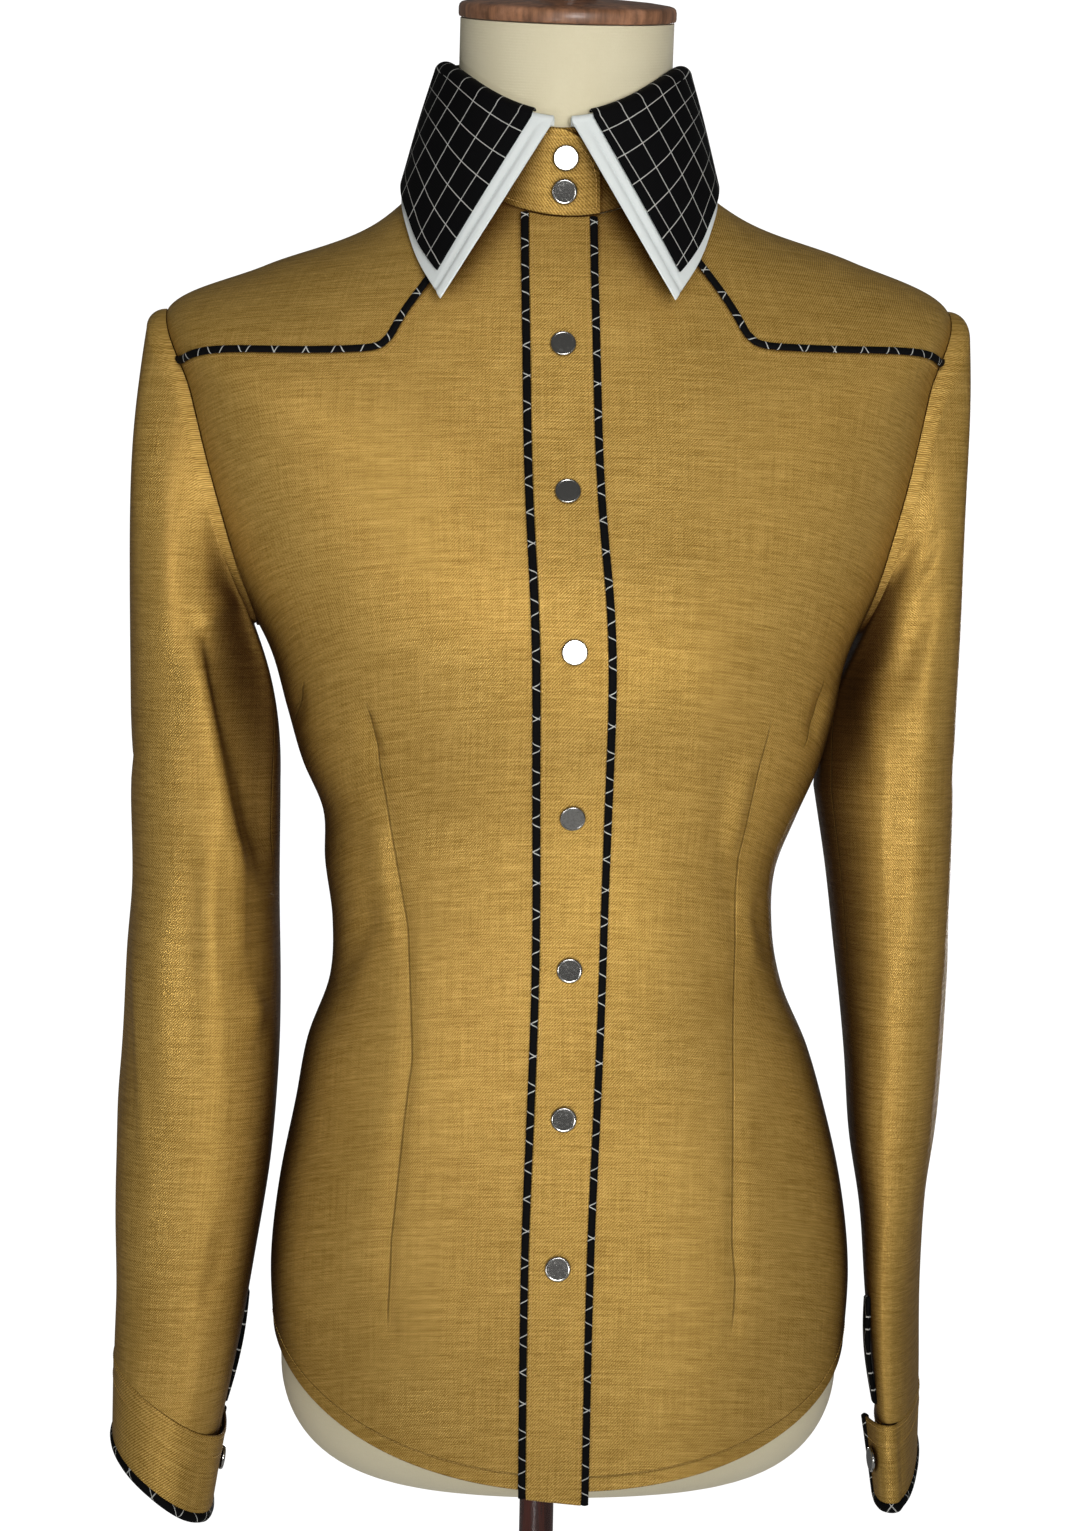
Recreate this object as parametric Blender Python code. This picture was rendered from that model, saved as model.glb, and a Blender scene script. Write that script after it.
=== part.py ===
"""Western snap shirt worn by a limbless dress form on a turned stand.

Metres, +Z up. The shirt's front faces -Y, and the origin is the middle of the stand's underside.
Left and right are the wearer's, so right is at -X. All cloth is a thin wall on one shared form: a
torso surface body(turn, along), two sleeve tubes and a collar that folds over the neck ring. turn is
the angle round the body from the centre front (0) over the left side (90 degrees) to the centre back,
and along runs up the cloth from the hem to the neck seam.
"""

from collections import namedtuple

import bpy
import numpy as np

# ---- driving sizes ---------------------------------------------------------------------------------
CLOTH = 0.0015  # wall of every cloth piece
SEAM = 0.0004  # clear space between two pieces
SQUARE = 0.09  # how far the torso's section is squarer than an ellipse

NECK_ALONG = 1.43  # the neck seam, in metres along the cloth
WIDEST_ALONG = 1.32  # the shoulder's end, where the cloth is widest
YOKE_TURN = np.radians(41)  # where the front yoke seam meets the neck seam
YOKE_CORNER = (np.radians(31.2), 1.350)  # turn and along of the yoke's western corner
ARMHOLE_MIDDLE, ARMHOLE_RISE = 1.249, 0.071  # along, half its height
ARMHOLE_REACH, ARMHOLE_ROUND = np.radians(18), 2.4  # half its width, and its superellipse power
YOKE_MEETS_ARMHOLE = np.radians(53.5)  # place round the armhole where the front yoke ends
BACK_YOKE_POINT = 0.018  # how far the back yoke dips at its middle
HEM_SIDE, HEM_DROP, HEM_POWER = 0.822, 0.0625, 1.3

SNAP_RADIUS, SNAP_THICK = 0.0063, 0.0018
SNAP_HEIGHTS = (1.3172, 1.2457, 1.1703, 1.0903, 1.0145, 0.9424, 0.8703)
COLLAR_SNAPS = (0.27, 0.65)  # shares of the stand's height
COLLAR_SNAP_TURN = np.radians(2.2)
PIPING_WIDE, PIPING_HIGH, PIPING_ROUND = 0.0038, 0.0016, 0.0017
CORNER_ROUND = 0.0006  # the piping is eased round a cuff's corner by this much
CUFF_LAP, CUFF_RISE = np.radians(24), np.radians(30)
CUFF_HIDDEN = 2  # steps of the rim under the lap, which have no piping
# A cuff's opening: where its under end starts, and how far its lapped end and the binding stand off.
Opening = namedtuple("Opening", "starts flare slit_flare")
OPENINGS = {
    "right": Opening(np.radians(180), 0.0010, 0.0015),
    "left": Opening(np.radians(112), 0.0022, 0.0018),
}
SLIT_TOP, SLIT_END = 0.89, 0.985  # shares of the sleeve's way down
SLIT_AFTER, SLIT_HALF = np.radians(16), 0.10  # middle of the slit past the cuff's under end

NECK_TURN, NECK_SHIFT = np.radians(-3.8), -0.0012  # the collar sits a little round to the right
STAND_RADIUS, STAND_BACK = 0.0575, 0.010  # top ring of the collar stand and how far forward it leans
STAND_LAP, STAND_UNDER = np.radians(18), np.radians(-16)
STAND_ROUND = np.radians(22)  # the lapped end is rounded over this much of the ring
STAND_END_HIGH = (0.35, 0.98)  # shares of its height where that rounding starts and ends
STAND_STEPS_IN, STAND_STEP = np.radians(50), np.radians(30)  # where the under end dips below the lap
STAND_LIFT = 0.0014  # outer face of the stand above the neck seam's ring
ROLL = 0.0017  # inner radius of the collar's fold
WHITE_START = np.radians(4.5)  # the white leaf's front edges start this far from the centre front
COLLAR_LEAN = 0.012  # its left side stands a little higher
BLACK_BACK, BLACK_UP = 0.72, 0.37  # shares of the last column and row where the white leaf shows

FORM_SEAT = 0.0031  # the form is this far below the cloth's outer face where it carries the shirt
FORM_BOTTOM, FORM_ROUNDING, FORM_FULL = 0.742, 0.062, 0.42
FORM_MIDDLE = 0.008  # its bottom's centre is this far behind the origin
FORM_BOTTOM_ANGLES = (6, 16, 30, 48, 68, 90)  # degrees up the rounding of its bottom
FORM_NECK_RADIUS, FORM_NECK_ROOT, FORM_NECK_LEAN = 0.0535, 1.40, np.radians(11)
FORM_NECK_LOW, FORM_NECK_TOP = 1.452, 1.483
CAP_RADIUS, CAP_TOP = 0.0545, 0.0105
POLE_RADIUS, BASE_RADIUS, BASE_TOP = 0.0088, 0.180, 0.040

# ---- tables: a row for each ring -------------------------------------------------------------------
Ring = namedtuple("Ring", "along z_side z_front z_back half shift front back lean")
BODY = (
    Ring(0.720, 0.720, 0.720, 0.720, 0.1419, 0.0099, 0.095, 0.114, 0.000),
    Ring(0.760, 0.760, 0.760, 0.760, 0.1434, 0.0099, 0.097, 0.118, 0.000),
    Ring(0.810, 0.810, 0.810, 0.810, 0.1459, 0.0099, 0.099, 0.122, 0.000),
    Ring(0.856, 0.856, 0.856, 0.856, 0.1483, 0.0096, 0.100, 0.124, 0.000),
    Ring(0.897, 0.897, 0.897, 0.897, 0.1440, 0.0091, 0.099, 0.122, 0.000),
    Ring(0.938, 0.938, 0.938, 0.938, 0.1352, 0.0081, 0.096, 0.115, 0.000),
    Ring(0.969, 0.969, 0.969, 0.969, 0.1276, 0.0061, 0.092, 0.106, 0.000),
    Ring(1.000, 1.000, 1.000, 1.000, 0.1156, 0.0046, 0.089, 0.096, 0.000),
    Ring(1.030, 1.030, 1.030, 1.030, 0.1122, 0.0022, 0.088, 0.087, 0.000),
    Ring(1.060, 1.060, 1.060, 1.060, 0.1148, 0.0007, 0.091, 0.083, 0.000),
    Ring(1.085, 1.085, 1.085, 1.085, 0.1203, 0.0048, 0.096, 0.085, 0.000),
    Ring(1.110, 1.110, 1.110, 1.110, 0.1310, 0.0046, 0.104, 0.090, 0.000),
    Ring(1.137, 1.137, 1.137, 1.137, 0.1388, 0.0042, 0.115, 0.096, 0.000),
    Ring(1.166, 1.166, 1.166, 1.166, 0.1460, 0.0028, 0.122, 0.101, 0.000),
    Ring(1.200, 1.204, 1.195, 1.198, 0.1640, 0.0012, 0.1205, 0.105, 0.004),
    Ring(1.240, 1.253, 1.222, 1.234, 0.1800, 0.0005, 0.114, 0.107, 0.010),
    Ring(1.280, 1.301, 1.247, 1.268, 0.1910, 0.0000, 0.106, 0.107, 0.018),
    Ring(1.320, 1.3405, 1.274, 1.302, 0.1970, 0.0000, 0.097, 0.104, 0.020),
    Ring(1.360, 1.3635, 1.312, 1.346, 0.1480, -0.0005, 0.085, 0.096, 0.030),
    Ring(1.400, 1.3843, 1.352, 1.394, 0.0930, 0.0000, 0.072, 0.078, 0.028),
    Ring(1.430, 1.4105, 1.3815, 1.436, 0.0600, -0.0015, 0.060, 0.056, 0.000),
)

Band = namedtuple("Band", "z middle half")  # the placket's centre line and half its width
PLACKET = (
    Band(0.740, 0.0015, 0.0152),
    Band(0.870, 0.0010, 0.0158),
    Band(1.030, 0.0048, 0.0164),
    Band(1.160, 0.0020, 0.0182),
    Band(1.260, -0.0025, 0.0174),
    Band(1.400, -0.0052, 0.0168),
)

Sleeve = namedtuple("Sleeve", "z out y across deep tilt nod yaw")  # lengths in metres, angles in degrees
SLEEVE_RIGHT = (
    Sleeve(1.1000, 0.1755, 0.002, 0.0377, 0.060, 0, 0, 0),
    Sleeve(1.0430, 0.1740, 0.003, 0.0375, 0.056, 2, 0, 0),
    Sleeve(1.0020, 0.1744, 0.003, 0.0390, 0.053, 4, 0, 0),
    Sleeve(0.9580, 0.1754, 0.001, 0.0396, 0.051, 7, 2, 0),
    Sleeve(0.9180, 0.1777, -0.001, 0.0395, 0.049, 11, 3, 0),
    Sleeve(0.8700, 0.1820, -0.004, 0.0369, 0.046, 18, 5, 0),
    Sleeve(0.8280, 0.1855, -0.007, 0.0350, 0.042, 27, 7, 0),
    Sleeve(0.7905, 0.1900, -0.010, 0.0332, 0.038, 35, 9, 0),
    Sleeve(0.7510, 0.1933, -0.012, 0.0304, 0.036, 38, 11, 0),
)
SLEEVE_LEFT = (
    Sleeve(1.1000, 0.1713, 0.004, 0.0345, 0.062, 0, 0, 0),
    Sleeve(1.0590, 0.1751, 0.005, 0.0310, 0.060, 0, 0, 2),
    Sleeve(1.0120, 0.1778, 0.005, 0.0281, 0.058, 0, 1, 4),
    Sleeve(0.9610, 0.1798, 0.004, 0.0245, 0.056, 0, 1, 7),
    Sleeve(0.9230, 0.1803, 0.003, 0.0215, 0.054, 0, 1, 9),
    Sleeve(0.8870, 0.1817, 0.002, 0.0167, 0.052, 0, 1, 11),
    Sleeve(0.8460, 0.1826, 0.001, 0.0135, 0.049, 0, 2, 14),
    Sleeve(0.7850, 0.1864, 0.000, 0.0100, 0.047, 0, 6, 15),
    Sleeve(0.7500, 0.1876, -0.001, 0.0090, 0.046, 0, 13, 13),
)
HANDS = {"right": (-1, SLEEVE_RIGHT), "left": (1, SLEEVE_LEFT)}
UPPER_SWELL = {-1: (0.0055, 0.0050), 1: (0.0016, 0.0024)}  # fullness on the upper arm's outer and inner side

Edge = namedtuple("Edge", "share x y z")  # the collar's outer edge, from the centre back to the point
COLLAR_EDGE = (
    Edge(0.00, 0.0000, 0.0880, 1.4080),
    Edge(0.30, 0.0545, 0.0640, 1.4050),
    Edge(0.58, 0.0768, 0.0050, 1.4014),
    Edge(0.67, 0.0774, -0.0248, 1.3925),
    Edge(0.71, 0.0767, -0.0366, 1.3868),
    Edge(0.80, 0.0710, -0.0570, 1.3672),
    Edge(1.00, 0.0560, -0.0880, 1.3390),
)

Inset = namedtuple("Inset", "along depth")
FORM_RINGS = (
    Inset(0.830, FORM_SEAT),
    Inset(0.860, 0.0046),
    Inset(0.900, 0.0065),
    Inset(0.935, 0.0065),
    Inset(0.970, 0.0065),
    Inset(1.000, 0.0065),
    Inset(1.030, 0.0065),
    Inset(1.060, 0.0065),
    Inset(1.090, 0.0065),
    Inset(1.120, 0.0065),
    Inset(1.150, 0.0065),
    Inset(1.180, 0.0065),
    Inset(1.210, 0.0065),
    Inset(1.250, 0.0065),
    Inset(1.290, 0.0065),
    Inset(1.315, 0.0065),
    Inset(1.345, 0.0036),
    Inset(1.368, 0.0038),
    Inset(1.390, 0.0050),
    Inset(1.410, 0.0060),
    Inset(1.430, 0.0065),
)

# Turned profiles, from the foot to the top: each starts and ends on its axis.
Turned = namedtuple("Turned", "radius height")
CAP = (
    Turned(0, 0),
    Turned(0.0535, 0),
    Turned(CAP_RADIUS, 0.0012),
    Turned(CAP_RADIUS, 0.0055),
    Turned(0.0525, 0.0075),
    Turned(0.0327, 0.0097),
    Turned(0.0160, CAP_TOP),
    Turned(0, CAP_TOP),
)
FINIAL = (
    Turned(0, 0),
    Turned(0.0145, 0),
    Turned(0.0145, 0.0050),
    Turned(0.0080, 0.0090),
    Turned(0.0075, 0.0150),
    Turned(0.0095, 0.0182),
    Turned(0.0140, 0.0246),
    Turned(0.0155, 0.0320),
    Turned(0.0140, 0.0394),
    Turned(0.0100, 0.0454),
    Turned(0.0048, 0.0486),
    Turned(0, 0.0495),
)
BASE = (
    Turned(0, 0),
    Turned(0.1780, 0),
    Turned(BASE_RADIUS, 0.0020),
    Turned(BASE_RADIUS, 0.0121),
    Turned(0.1720, 0.0198),
    Turned(0.0990, 0.0240),
    Turned(0.0320, 0.0280),
    Turned(0.0260, BASE_TOP),
    Turned(0, BASE_TOP),
)


# ---- materials: colour, roughness, metallic ----------------------------------------------------------
MATERIALS = {
    "tan_twill": ((0.40, 0.26, 0.10), 0.62, 0.0),
    "black_windowpane": ((0.012, 0.012, 0.014), 0.70, 0.0),
    "white_cotton": ((0.82, 0.84, 0.80), 0.75, 0.0),
    "snap_metal": ((0.62, 0.60, 0.57), 0.22, 1.0),
    "form_jersey": ((0.80, 0.76, 0.66), 0.85, 0.0),
    "worn_wood": ((0.23, 0.11, 0.06), 0.45, 0.0),
    "dark_wood": ((0.05, 0.018, 0.012), 0.25, 0.0),
}


# ---- small helpers ---------------------------------------------------------------------------------
def smooth(table, key, name, at):
    """One column of a table, read at any place as a smooth curve through its rows."""
    keys = np.array([getattr(row, key) for row in table], float)
    values = np.array([getattr(row, name) for row in table], float)
    if keys[0] > keys[-1]:
        keys, values = keys[::-1], values[::-1]
    slopes = np.gradient(values, keys)
    at = np.clip(at, keys[0], keys[-1])
    index = np.clip(np.searchsorted(keys, at) - 1, 0, len(keys) - 2)
    width = keys[index + 1] - keys[index]
    s = (at - keys[index]) / width
    rise = (values[index + 1] - values[index]) * s * s * (3 - 2 * s)
    return values[index] + rise + width * s * (1 - s) * ((1 - s) * slopes[index] - s * slopes[index + 1])


def unit(vectors):
    return vectors / np.linalg.norm(vectors, axis=-1, keepdims=True)


def power(value, exponent):
    return np.sign(value) * np.abs(value) ** exponent


def stack(*values):
    return np.stack(np.broadcast_arrays(*values), -1)


def normal(surface, first, second, step=1e-4):
    """Unit normals of surface(first, second), by central differences."""
    one = surface(first + step, second) - surface(first - step, second)
    two = surface(first, second + step) - surface(first, second - step)
    across = np.cross(one, two)
    return across / np.linalg.norm(across, axis=-1, keepdims=True)


def lifted(surface, first, second, lift):
    """Points of a surface moved out along its normal."""
    return surface(first, second) + normal(surface, first, second) * lift


def coons(bottom, top, left, right):
    """Fills four edges, each a row of (turn, along) pairs. Ends that differ a little are drawn together."""
    s = np.linspace(0, 1, len(bottom))[None, :, None]
    r = np.linspace(0, 1, len(left))[:, None, None]
    corners = [(bottom[0] + left[0]) / 2, (bottom[-1] + right[0]) / 2]
    corners += [(top[0] + left[-1]) / 2, (top[-1] + right[-1]) / 2]

    def pinned(edge, start, end):
        share = np.linspace(0, 1, len(edge))[:, None]
        return edge + (1 - share) * (start - edge[0]) + share * (end - edge[-1])

    bottom, top = pinned(bottom, corners[0], corners[1]), pinned(top, corners[2], corners[3])
    left, right = pinned(left, corners[0], corners[2]), pinned(right, corners[1], corners[3])
    flat = (1 - r) * ((1 - s) * corners[0] + s * corners[1]) + r * ((1 - s) * corners[2] + s * corners[3])
    return (1 - r) * bottom[None] + r * top[None] + (1 - s) * left[:, None] + s * right[:, None] - flat


def chart(pairs, about, exponent):
    """Scales the turns, measured from about, by how narrow the body is at that height."""
    along = np.maximum(pairs[..., 1], WIDEST_ALONG)
    widest = smooth(BODY, "along", "half", WIDEST_ALONG)
    scale = (smooth(BODY, "along", "half", along) / widest) ** exponent
    return stack(about + (pairs[..., 0] - about) * scale, pairs[..., 1])


def fill(bottom, top, left, right, about=0.0):
    """coons() in the flat chart, so that columns keep apart where the cloth narrows to the neck."""
    edges = [chart(edge, about, 1) for edge in (bottom, top, left, right)]
    return chart(coons(*edges), about, -1)


def line(start, end, count):
    """Evenly spaced pairs from start to end."""
    return np.linspace(start, end, count)


# ---- the shared forms ------------------------------------------------------------------------------
def body(turn, along):
    """The torso's outer cloth face."""
    ring = {name: smooth(BODY, "along", name, along) for name in Ring._fields[1:]}
    s, c = np.sin(turn), np.cos(turn)
    ahead = c > 0
    x = ring["shift"] + ring["half"] * s * (1 + SQUARE * c * c)
    y = np.where(ahead, -ring["front"], -ring["back"]) * c * (1 + SQUARE * s * s)
    z = ring["z_side"] * s * s + np.where(ahead, ring["z_front"], ring["z_back"]) * c * c
    return stack(x, y, z + ring["lean"] * x)


def turn_at(x, along):
    """The turn on the front where the body's x is as given."""
    share = (x - smooth(BODY, "along", "shift", along)) / smooth(BODY, "along", "half", along)
    s = share
    for _ in range(12):
        s = share / (1 + SQUARE * (1 - s * s))
    return np.arcsin(s)


def front_at(x, z):
    """Turn and along of the front's point with this x and z."""
    x, along = np.broadcast_arrays(np.asarray(x, float), np.asarray(z, float))
    for _ in range(30):
        turn = turn_at(x, along)
        along = np.clip(along + 0.8 * (z - body(turn, along)[..., 2]), 0.72, NECK_ALONG)
    return turn_at(x, along), along


def armhole(place, grow=0.0):
    """(turn, along) round the left armhole: place 0 is the shoulder, 90 degrees the front."""
    bend = 2 / ARMHOLE_ROUND
    along = ARMHOLE_MIDDLE + (ARMHOLE_RISE + grow) * power(np.cos(place), bend)
    return stack(np.pi / 2 - (ARMHOLE_REACH + grow * 9) * power(np.sin(place), bend), along)


def hem(turn):
    return HEM_SIDE - HEM_DROP * np.abs(np.cos(turn)) ** HEM_POWER


def band(name, z):
    return smooth(PLACKET, "z", name, z)


def mirrored(pairs, side):
    """(turn, along) pairs of the left side, taken over to this side."""
    return pairs * np.array([side, 1.0])


def sleeve_ring(side, table, place, z):
    """A ring of the sleeve below the upper arm; place 0 is its outer side and 90 degrees its front."""
    row = {name: smooth(table, "z", name, z) for name in Sleeve._fields[1:]}
    tilt, nod, yaw = (np.radians(row[name]) for name in ("tilt", "nod", "yaw"))
    out = row["across"] * np.cos(place) * (1 + SQUARE * np.sin(place) ** 2)
    ahead = row["deep"] * np.sin(place) * (1 + SQUARE * np.cos(place) ** 2)
    x = side * (row["out"] + out * np.cos(tilt) * np.cos(yaw) - ahead * np.sin(yaw))
    y = row["y"] - ahead * np.cos(nod) * np.cos(yaw) - out * np.sin(yaw)
    return stack(x, y, z + out * np.sin(tilt) - ahead * np.sin(nod))


HEAD = 0.05  # the sleeve head's rounding takes this share of the sleeve's way down
UPPER = 0.42  # and the upper arm ends at this share
HEAD_OUT, HEAD_DOWN = 0.0100, 0.0088


def sleeve(side, table):
    """surface(place, down): 0 is the armhole seam, 1 the cuff seam, 1 to 2 the cuff."""
    top, cuff, end = table[0].z, table[-2].z, table[-1].z

    def surface(place, down):
        place, down = np.broadcast_arrays(np.asarray(place, float), np.asarray(down, float))
        hole = armhole(place, -0.0008)
        turn, along = hole[..., 0] * side, hole[..., 1]
        start = lifted(body, turn, along, SEAM)
        share = (0.14 + 0.86 * np.cos(place / 2) ** 2)[..., None]
        bend = np.clip(down / HEAD, 0, 1)[..., None] * np.pi / 2
        outward = np.array([side, 0.0, 0.0]) * HEAD_OUT * share
        drop = np.array([0.0, 0.0, -HEAD_DOWN]) * share
        head = start + outward * np.sin(bend) + drop * (1 - np.cos(bend))
        low = sleeve_ring(side, table, place, np.full_like(place, top))
        t = np.clip((down - HEAD) / (UPPER - HEAD), 0, 1)[..., None]
        chord = np.linalg.norm(low - head, axis=-1, keepdims=True)
        fall = np.array([0.0, 0.0, -1.0]) * chord
        rise = (low - head) * t * t * (3 - 2 * t)
        outer, inner = UPPER_SWELL[side]
        full = outer * np.cos(place / 2) ** 2 - inner * np.sin(place / 2) ** 4
        swell = np.array([side, 0.0, 0.0]) * full[..., None] * 6.75 * t * (1 - t) ** 2
        upper = head + rise + fall * t * (1 - t) * ((1 - t) - t) + swell
        z = np.where(
            down <= 1,
            top + (cuff - top) * np.clip((down - UPPER) / (1 - UPPER), 0, 1),
            cuff + (end - cuff) * np.clip(down - 1, 0, 1),
        )
        return np.where((down < UPPER)[..., None], upper, sleeve_ring(side, table, place, z))

    return surface


def sleeve_lifted(side, surface, place, down, lift):
    step = 2e-3
    one = surface(place + step, down) - surface(place - step, down)
    two = surface(place, down + step) - surface(place, np.maximum(down - step, 0))
    across = np.cross(one, two) * side
    across /= np.linalg.norm(across, axis=-1, keepdims=True)
    return surface(place, down) + across * lift


def neck_point(turn, ahead, x_radius, back, z):
    """A point on a ring round the neck, turned a little with the collar."""
    return stack(NECK_SHIFT + x_radius * np.sin(turn + ahead), back - x_radius * np.cos(turn + ahead), z)


def stand_top_z(turn):
    s, c = np.sin(turn), np.cos(turn)
    return 1.450 * s * s + np.where(c > 0, 1.4240, 1.461) * c * c


def stand(turn, share):
    """The collar stand, from the neck seam (0) to its top (1)."""
    low = body(turn + NECK_TURN, np.full_like(turn, NECK_ALONG)) + np.array([0.0, 0.0, 1.6 * SEAM])
    high = neck_point(turn, NECK_TURN, STAND_RADIUS, -STAND_BACK, stand_top_z(turn))
    share = np.asarray(share)[..., None]
    return low + (high - low) * share


def collar_edge(v):
    """The white leaf's outer edge; v runs from -1 (right point) over the centre back to 1."""
    share, side = np.abs(v), np.sign(v)
    x, y, z = (smooth(COLLAR_EDGE, "share", name, share) for name in "xyz")
    x = x * side
    z = z + COLLAR_LEAN * x
    turned = NECK_SHIFT + x * np.cos(NECK_TURN) + y * -np.sin(NECK_TURN)
    return stack(turned, y * np.cos(NECK_TURN) + x * np.sin(NECK_TURN), z)


FOLD = 0.26  # share of the collar's way that its fold takes


def collar(v, w):
    """The leaf's outer face: w 0 is at the stand's top, FOLD the fold's outer side, 1 the outer edge."""
    v, w = np.broadcast_arrays(np.asarray(v, float), np.asarray(w, float))
    turn = (np.pi - np.abs(v) * (np.pi - WHITE_START)) * np.where(v < 0, -1, 1)
    c, s = np.cos(turn), np.sin(turn)
    crest = 1.458 * s * s + np.where(c > 0, 1.4275, 1.471) * c * c
    foot = neck_point(turn, NECK_TURN, STAND_RADIUS, -STAND_BACK, stand_top_z(turn) + SEAM)
    out = stack(np.sin(turn + NECK_TURN), -np.cos(turn + NECK_TURN), 0 * turn)
    up = np.array([0.0, 0.0, 1.0])
    rise = (crest - foot[..., 2] - ROLL)[..., None]
    bend = np.clip(w / FOLD, 0, 1)[..., None]
    arc = np.clip((bend - 0.25) / 0.75, 0, 1) * np.pi
    wall = foot + up * rise * np.clip(bend / 0.25, 0, 1)
    fold = wall + out * ROLL * (1 - np.cos(arc)) + up * ROLL * np.sin(arc)
    t = np.clip((w - FOLD) / (1 - FOLD), 0, 1)[..., None]
    edge = collar_edge(v)
    swell = np.sin(np.pi * t) * 0.0012
    return np.where((w < FOLD)[..., None], fold, fold + (edge - fold) * t + out * swell)


# ---- mesh makers -----------------------------------------------------------------------------------
def material(name):
    made = bpy.data.materials.get(name)
    if made is None:
        colour, roughness, metallic = MATERIALS[name]
        made = bpy.data.materials.new(name)
        made.use_nodes = True
        shader = made.node_tree.nodes["Principled BSDF"]
        shader.inputs["Base Color"].default_value = (*colour, 1.0)
        shader.inputs["Roughness"].default_value = roughness
        shader.inputs["Metallic"].default_value = metallic
        made.diffuse_color = (*colour, 1.0)
    return made


def solid(name, material_name, points, faces):
    """One closed mesh object, its faces turned outward."""
    points = np.asarray(points, float)
    volume = 0.0
    for face in faces:
        first = points[face[0]]
        for second, third in zip(face[1:-1], face[2:]):
            volume += np.dot(first, np.cross(points[second], points[third]))
    if volume < 0:
        faces = [face[::-1] for face in faces]
    mesh = bpy.data.meshes.new(name)
    mesh.from_pydata(points.tolist(), [], [list(map(int, face)) for face in faces])
    mesh.shade_smooth()
    mesh.set_sharp_from_angle(angle=np.radians(40))
    made = bpy.data.objects.new(name, mesh)
    made.data.materials.append(material(material_name))
    bpy.context.scene.collection.objects.link(made)
    return made


def grid_faces(index):
    """Two triangles a cell, always split along the same diagonal, so that stacked walls nest."""
    a, b, c, d = index[:-1, :-1], index[:-1, 1:], index[1:, 1:], index[1:, :-1]
    return np.concatenate([np.stack(corners, -1).reshape(-1, 3) for corners in ((a, b, c), (a, c, d))])


def wall(name, material_name, outer, inner, around=False):
    """A thin wall between two grids of points; around joins the last column to the first."""
    rows, columns = outer.shape[:2]
    count = rows * columns
    index = np.arange(count).reshape(rows, columns)
    if around:
        index = np.hstack([index, index[:, :1]])
        loops = [index[0], index[-1][::-1]]
    else:
        rim = np.concatenate([index[0], index[1:, -1], index[-1, -2::-1], index[-2::-1, 0]])
        loops = [rim]
    faces = [*grid_faces(index)[:, ::-1], *(grid_faces(index) + count)]
    for loop in loops:
        for start, end in zip(loop[:-1], loop[1:]):
            faces.append(np.array([start, end, end + count, start + count]))
    points = np.concatenate([outer.reshape(-1, 3), inner.reshape(-1, 3)])
    return solid(name, material_name, points, faces)


def panel(name, material_name, pairs, lift=0.0, thick=CLOTH):
    """A wall on the body, over a grid of (turn, along) pairs."""
    turn, along = pairs[..., 0], pairs[..., 1]
    outer = lifted(body, turn, along, lift)
    return wall(name, material_name, outer, lifted(body, turn, along, lift - thick))


def bar(name, material_name, centre, wide, high, half_wide, half_high, sides=6):
    """A bent bar with an oval section: wide and high are unit vectors at each point of its centre line."""
    angles = np.arange(sides) * 2 * np.pi / sides
    ring = (
        centre[:, None]
        + wide[:, None] * (half_wide * np.cos(angles))[None, :, None]
        + high[:, None] * (half_high * np.sin(angles))[None, :, None]
    )
    points = ring.reshape(-1, 3)
    index = np.arange(len(points)).reshape(-1, sides)
    faces = list(grid_faces(np.hstack([index, index[:, :1]])))
    faces += [index[0][::-1], index[-1]]
    return solid(name, material_name, points, faces)


def lathe(name, material_name, profile, sides, origin=(0, 0, 0), axis=(0, 0, 1)):
    """A turned solid: profile holds (radius, height) pairs from its foot to its top, both on the axis."""
    axis = np.array(axis, float) / np.linalg.norm(axis)
    side = np.cross(axis, (0.0, 1.0, 0.0) if abs(axis[1]) < 0.9 else (1.0, 0.0, 0.0))
    side /= np.linalg.norm(side)
    other = np.cross(axis, side)
    angles = np.arange(sides) * 2 * np.pi / sides
    spokes = np.cos(angles)[:, None] * side + np.sin(angles)[:, None] * other
    rings = [np.array(origin) + axis * height + spokes * radius for radius, height in profile[1:-1]]
    points = np.concatenate([*rings, [np.array(origin) + axis * profile[0][1]]])
    points = np.concatenate([points, [np.array(origin) + axis * profile[-1][1]]])
    index = np.arange(len(rings) * sides).reshape(-1, sides)
    index = np.hstack([index, index[:, :1]])
    foot, top = len(points) - 2, len(points) - 1
    faces = list(grid_faces(index))
    faces += [(foot, b, a) for a, b in zip(index[0][:-1], index[0][1:])]
    faces += [(top, a, b) for a, b in zip(index[-1][:-1], index[-1][1:])]
    return solid(name, material_name, points, faces)


# ---- the shirt's panels ----------------------------------------------------------------------------
SIDE_GAP = 0.0028  # radians kept clear of a seam that runs up or over the body
FRONT_ROWS = (14, 9)  # rows below the armhole and beside it
SEAM_STEPS = (5, 7)  # steps of the front yoke seam before and after its corner
YOKE_CORNER_EASED = 0.12  # how far its corner is rounded off
YOKE_SAG = 0.0039  # how far it sags below a straight run just before the armhole
YOKE_PIPING_SHORT = (0.001, 0.004)  # the yoke piping ends clear of the neck seam and of the armhole


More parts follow.
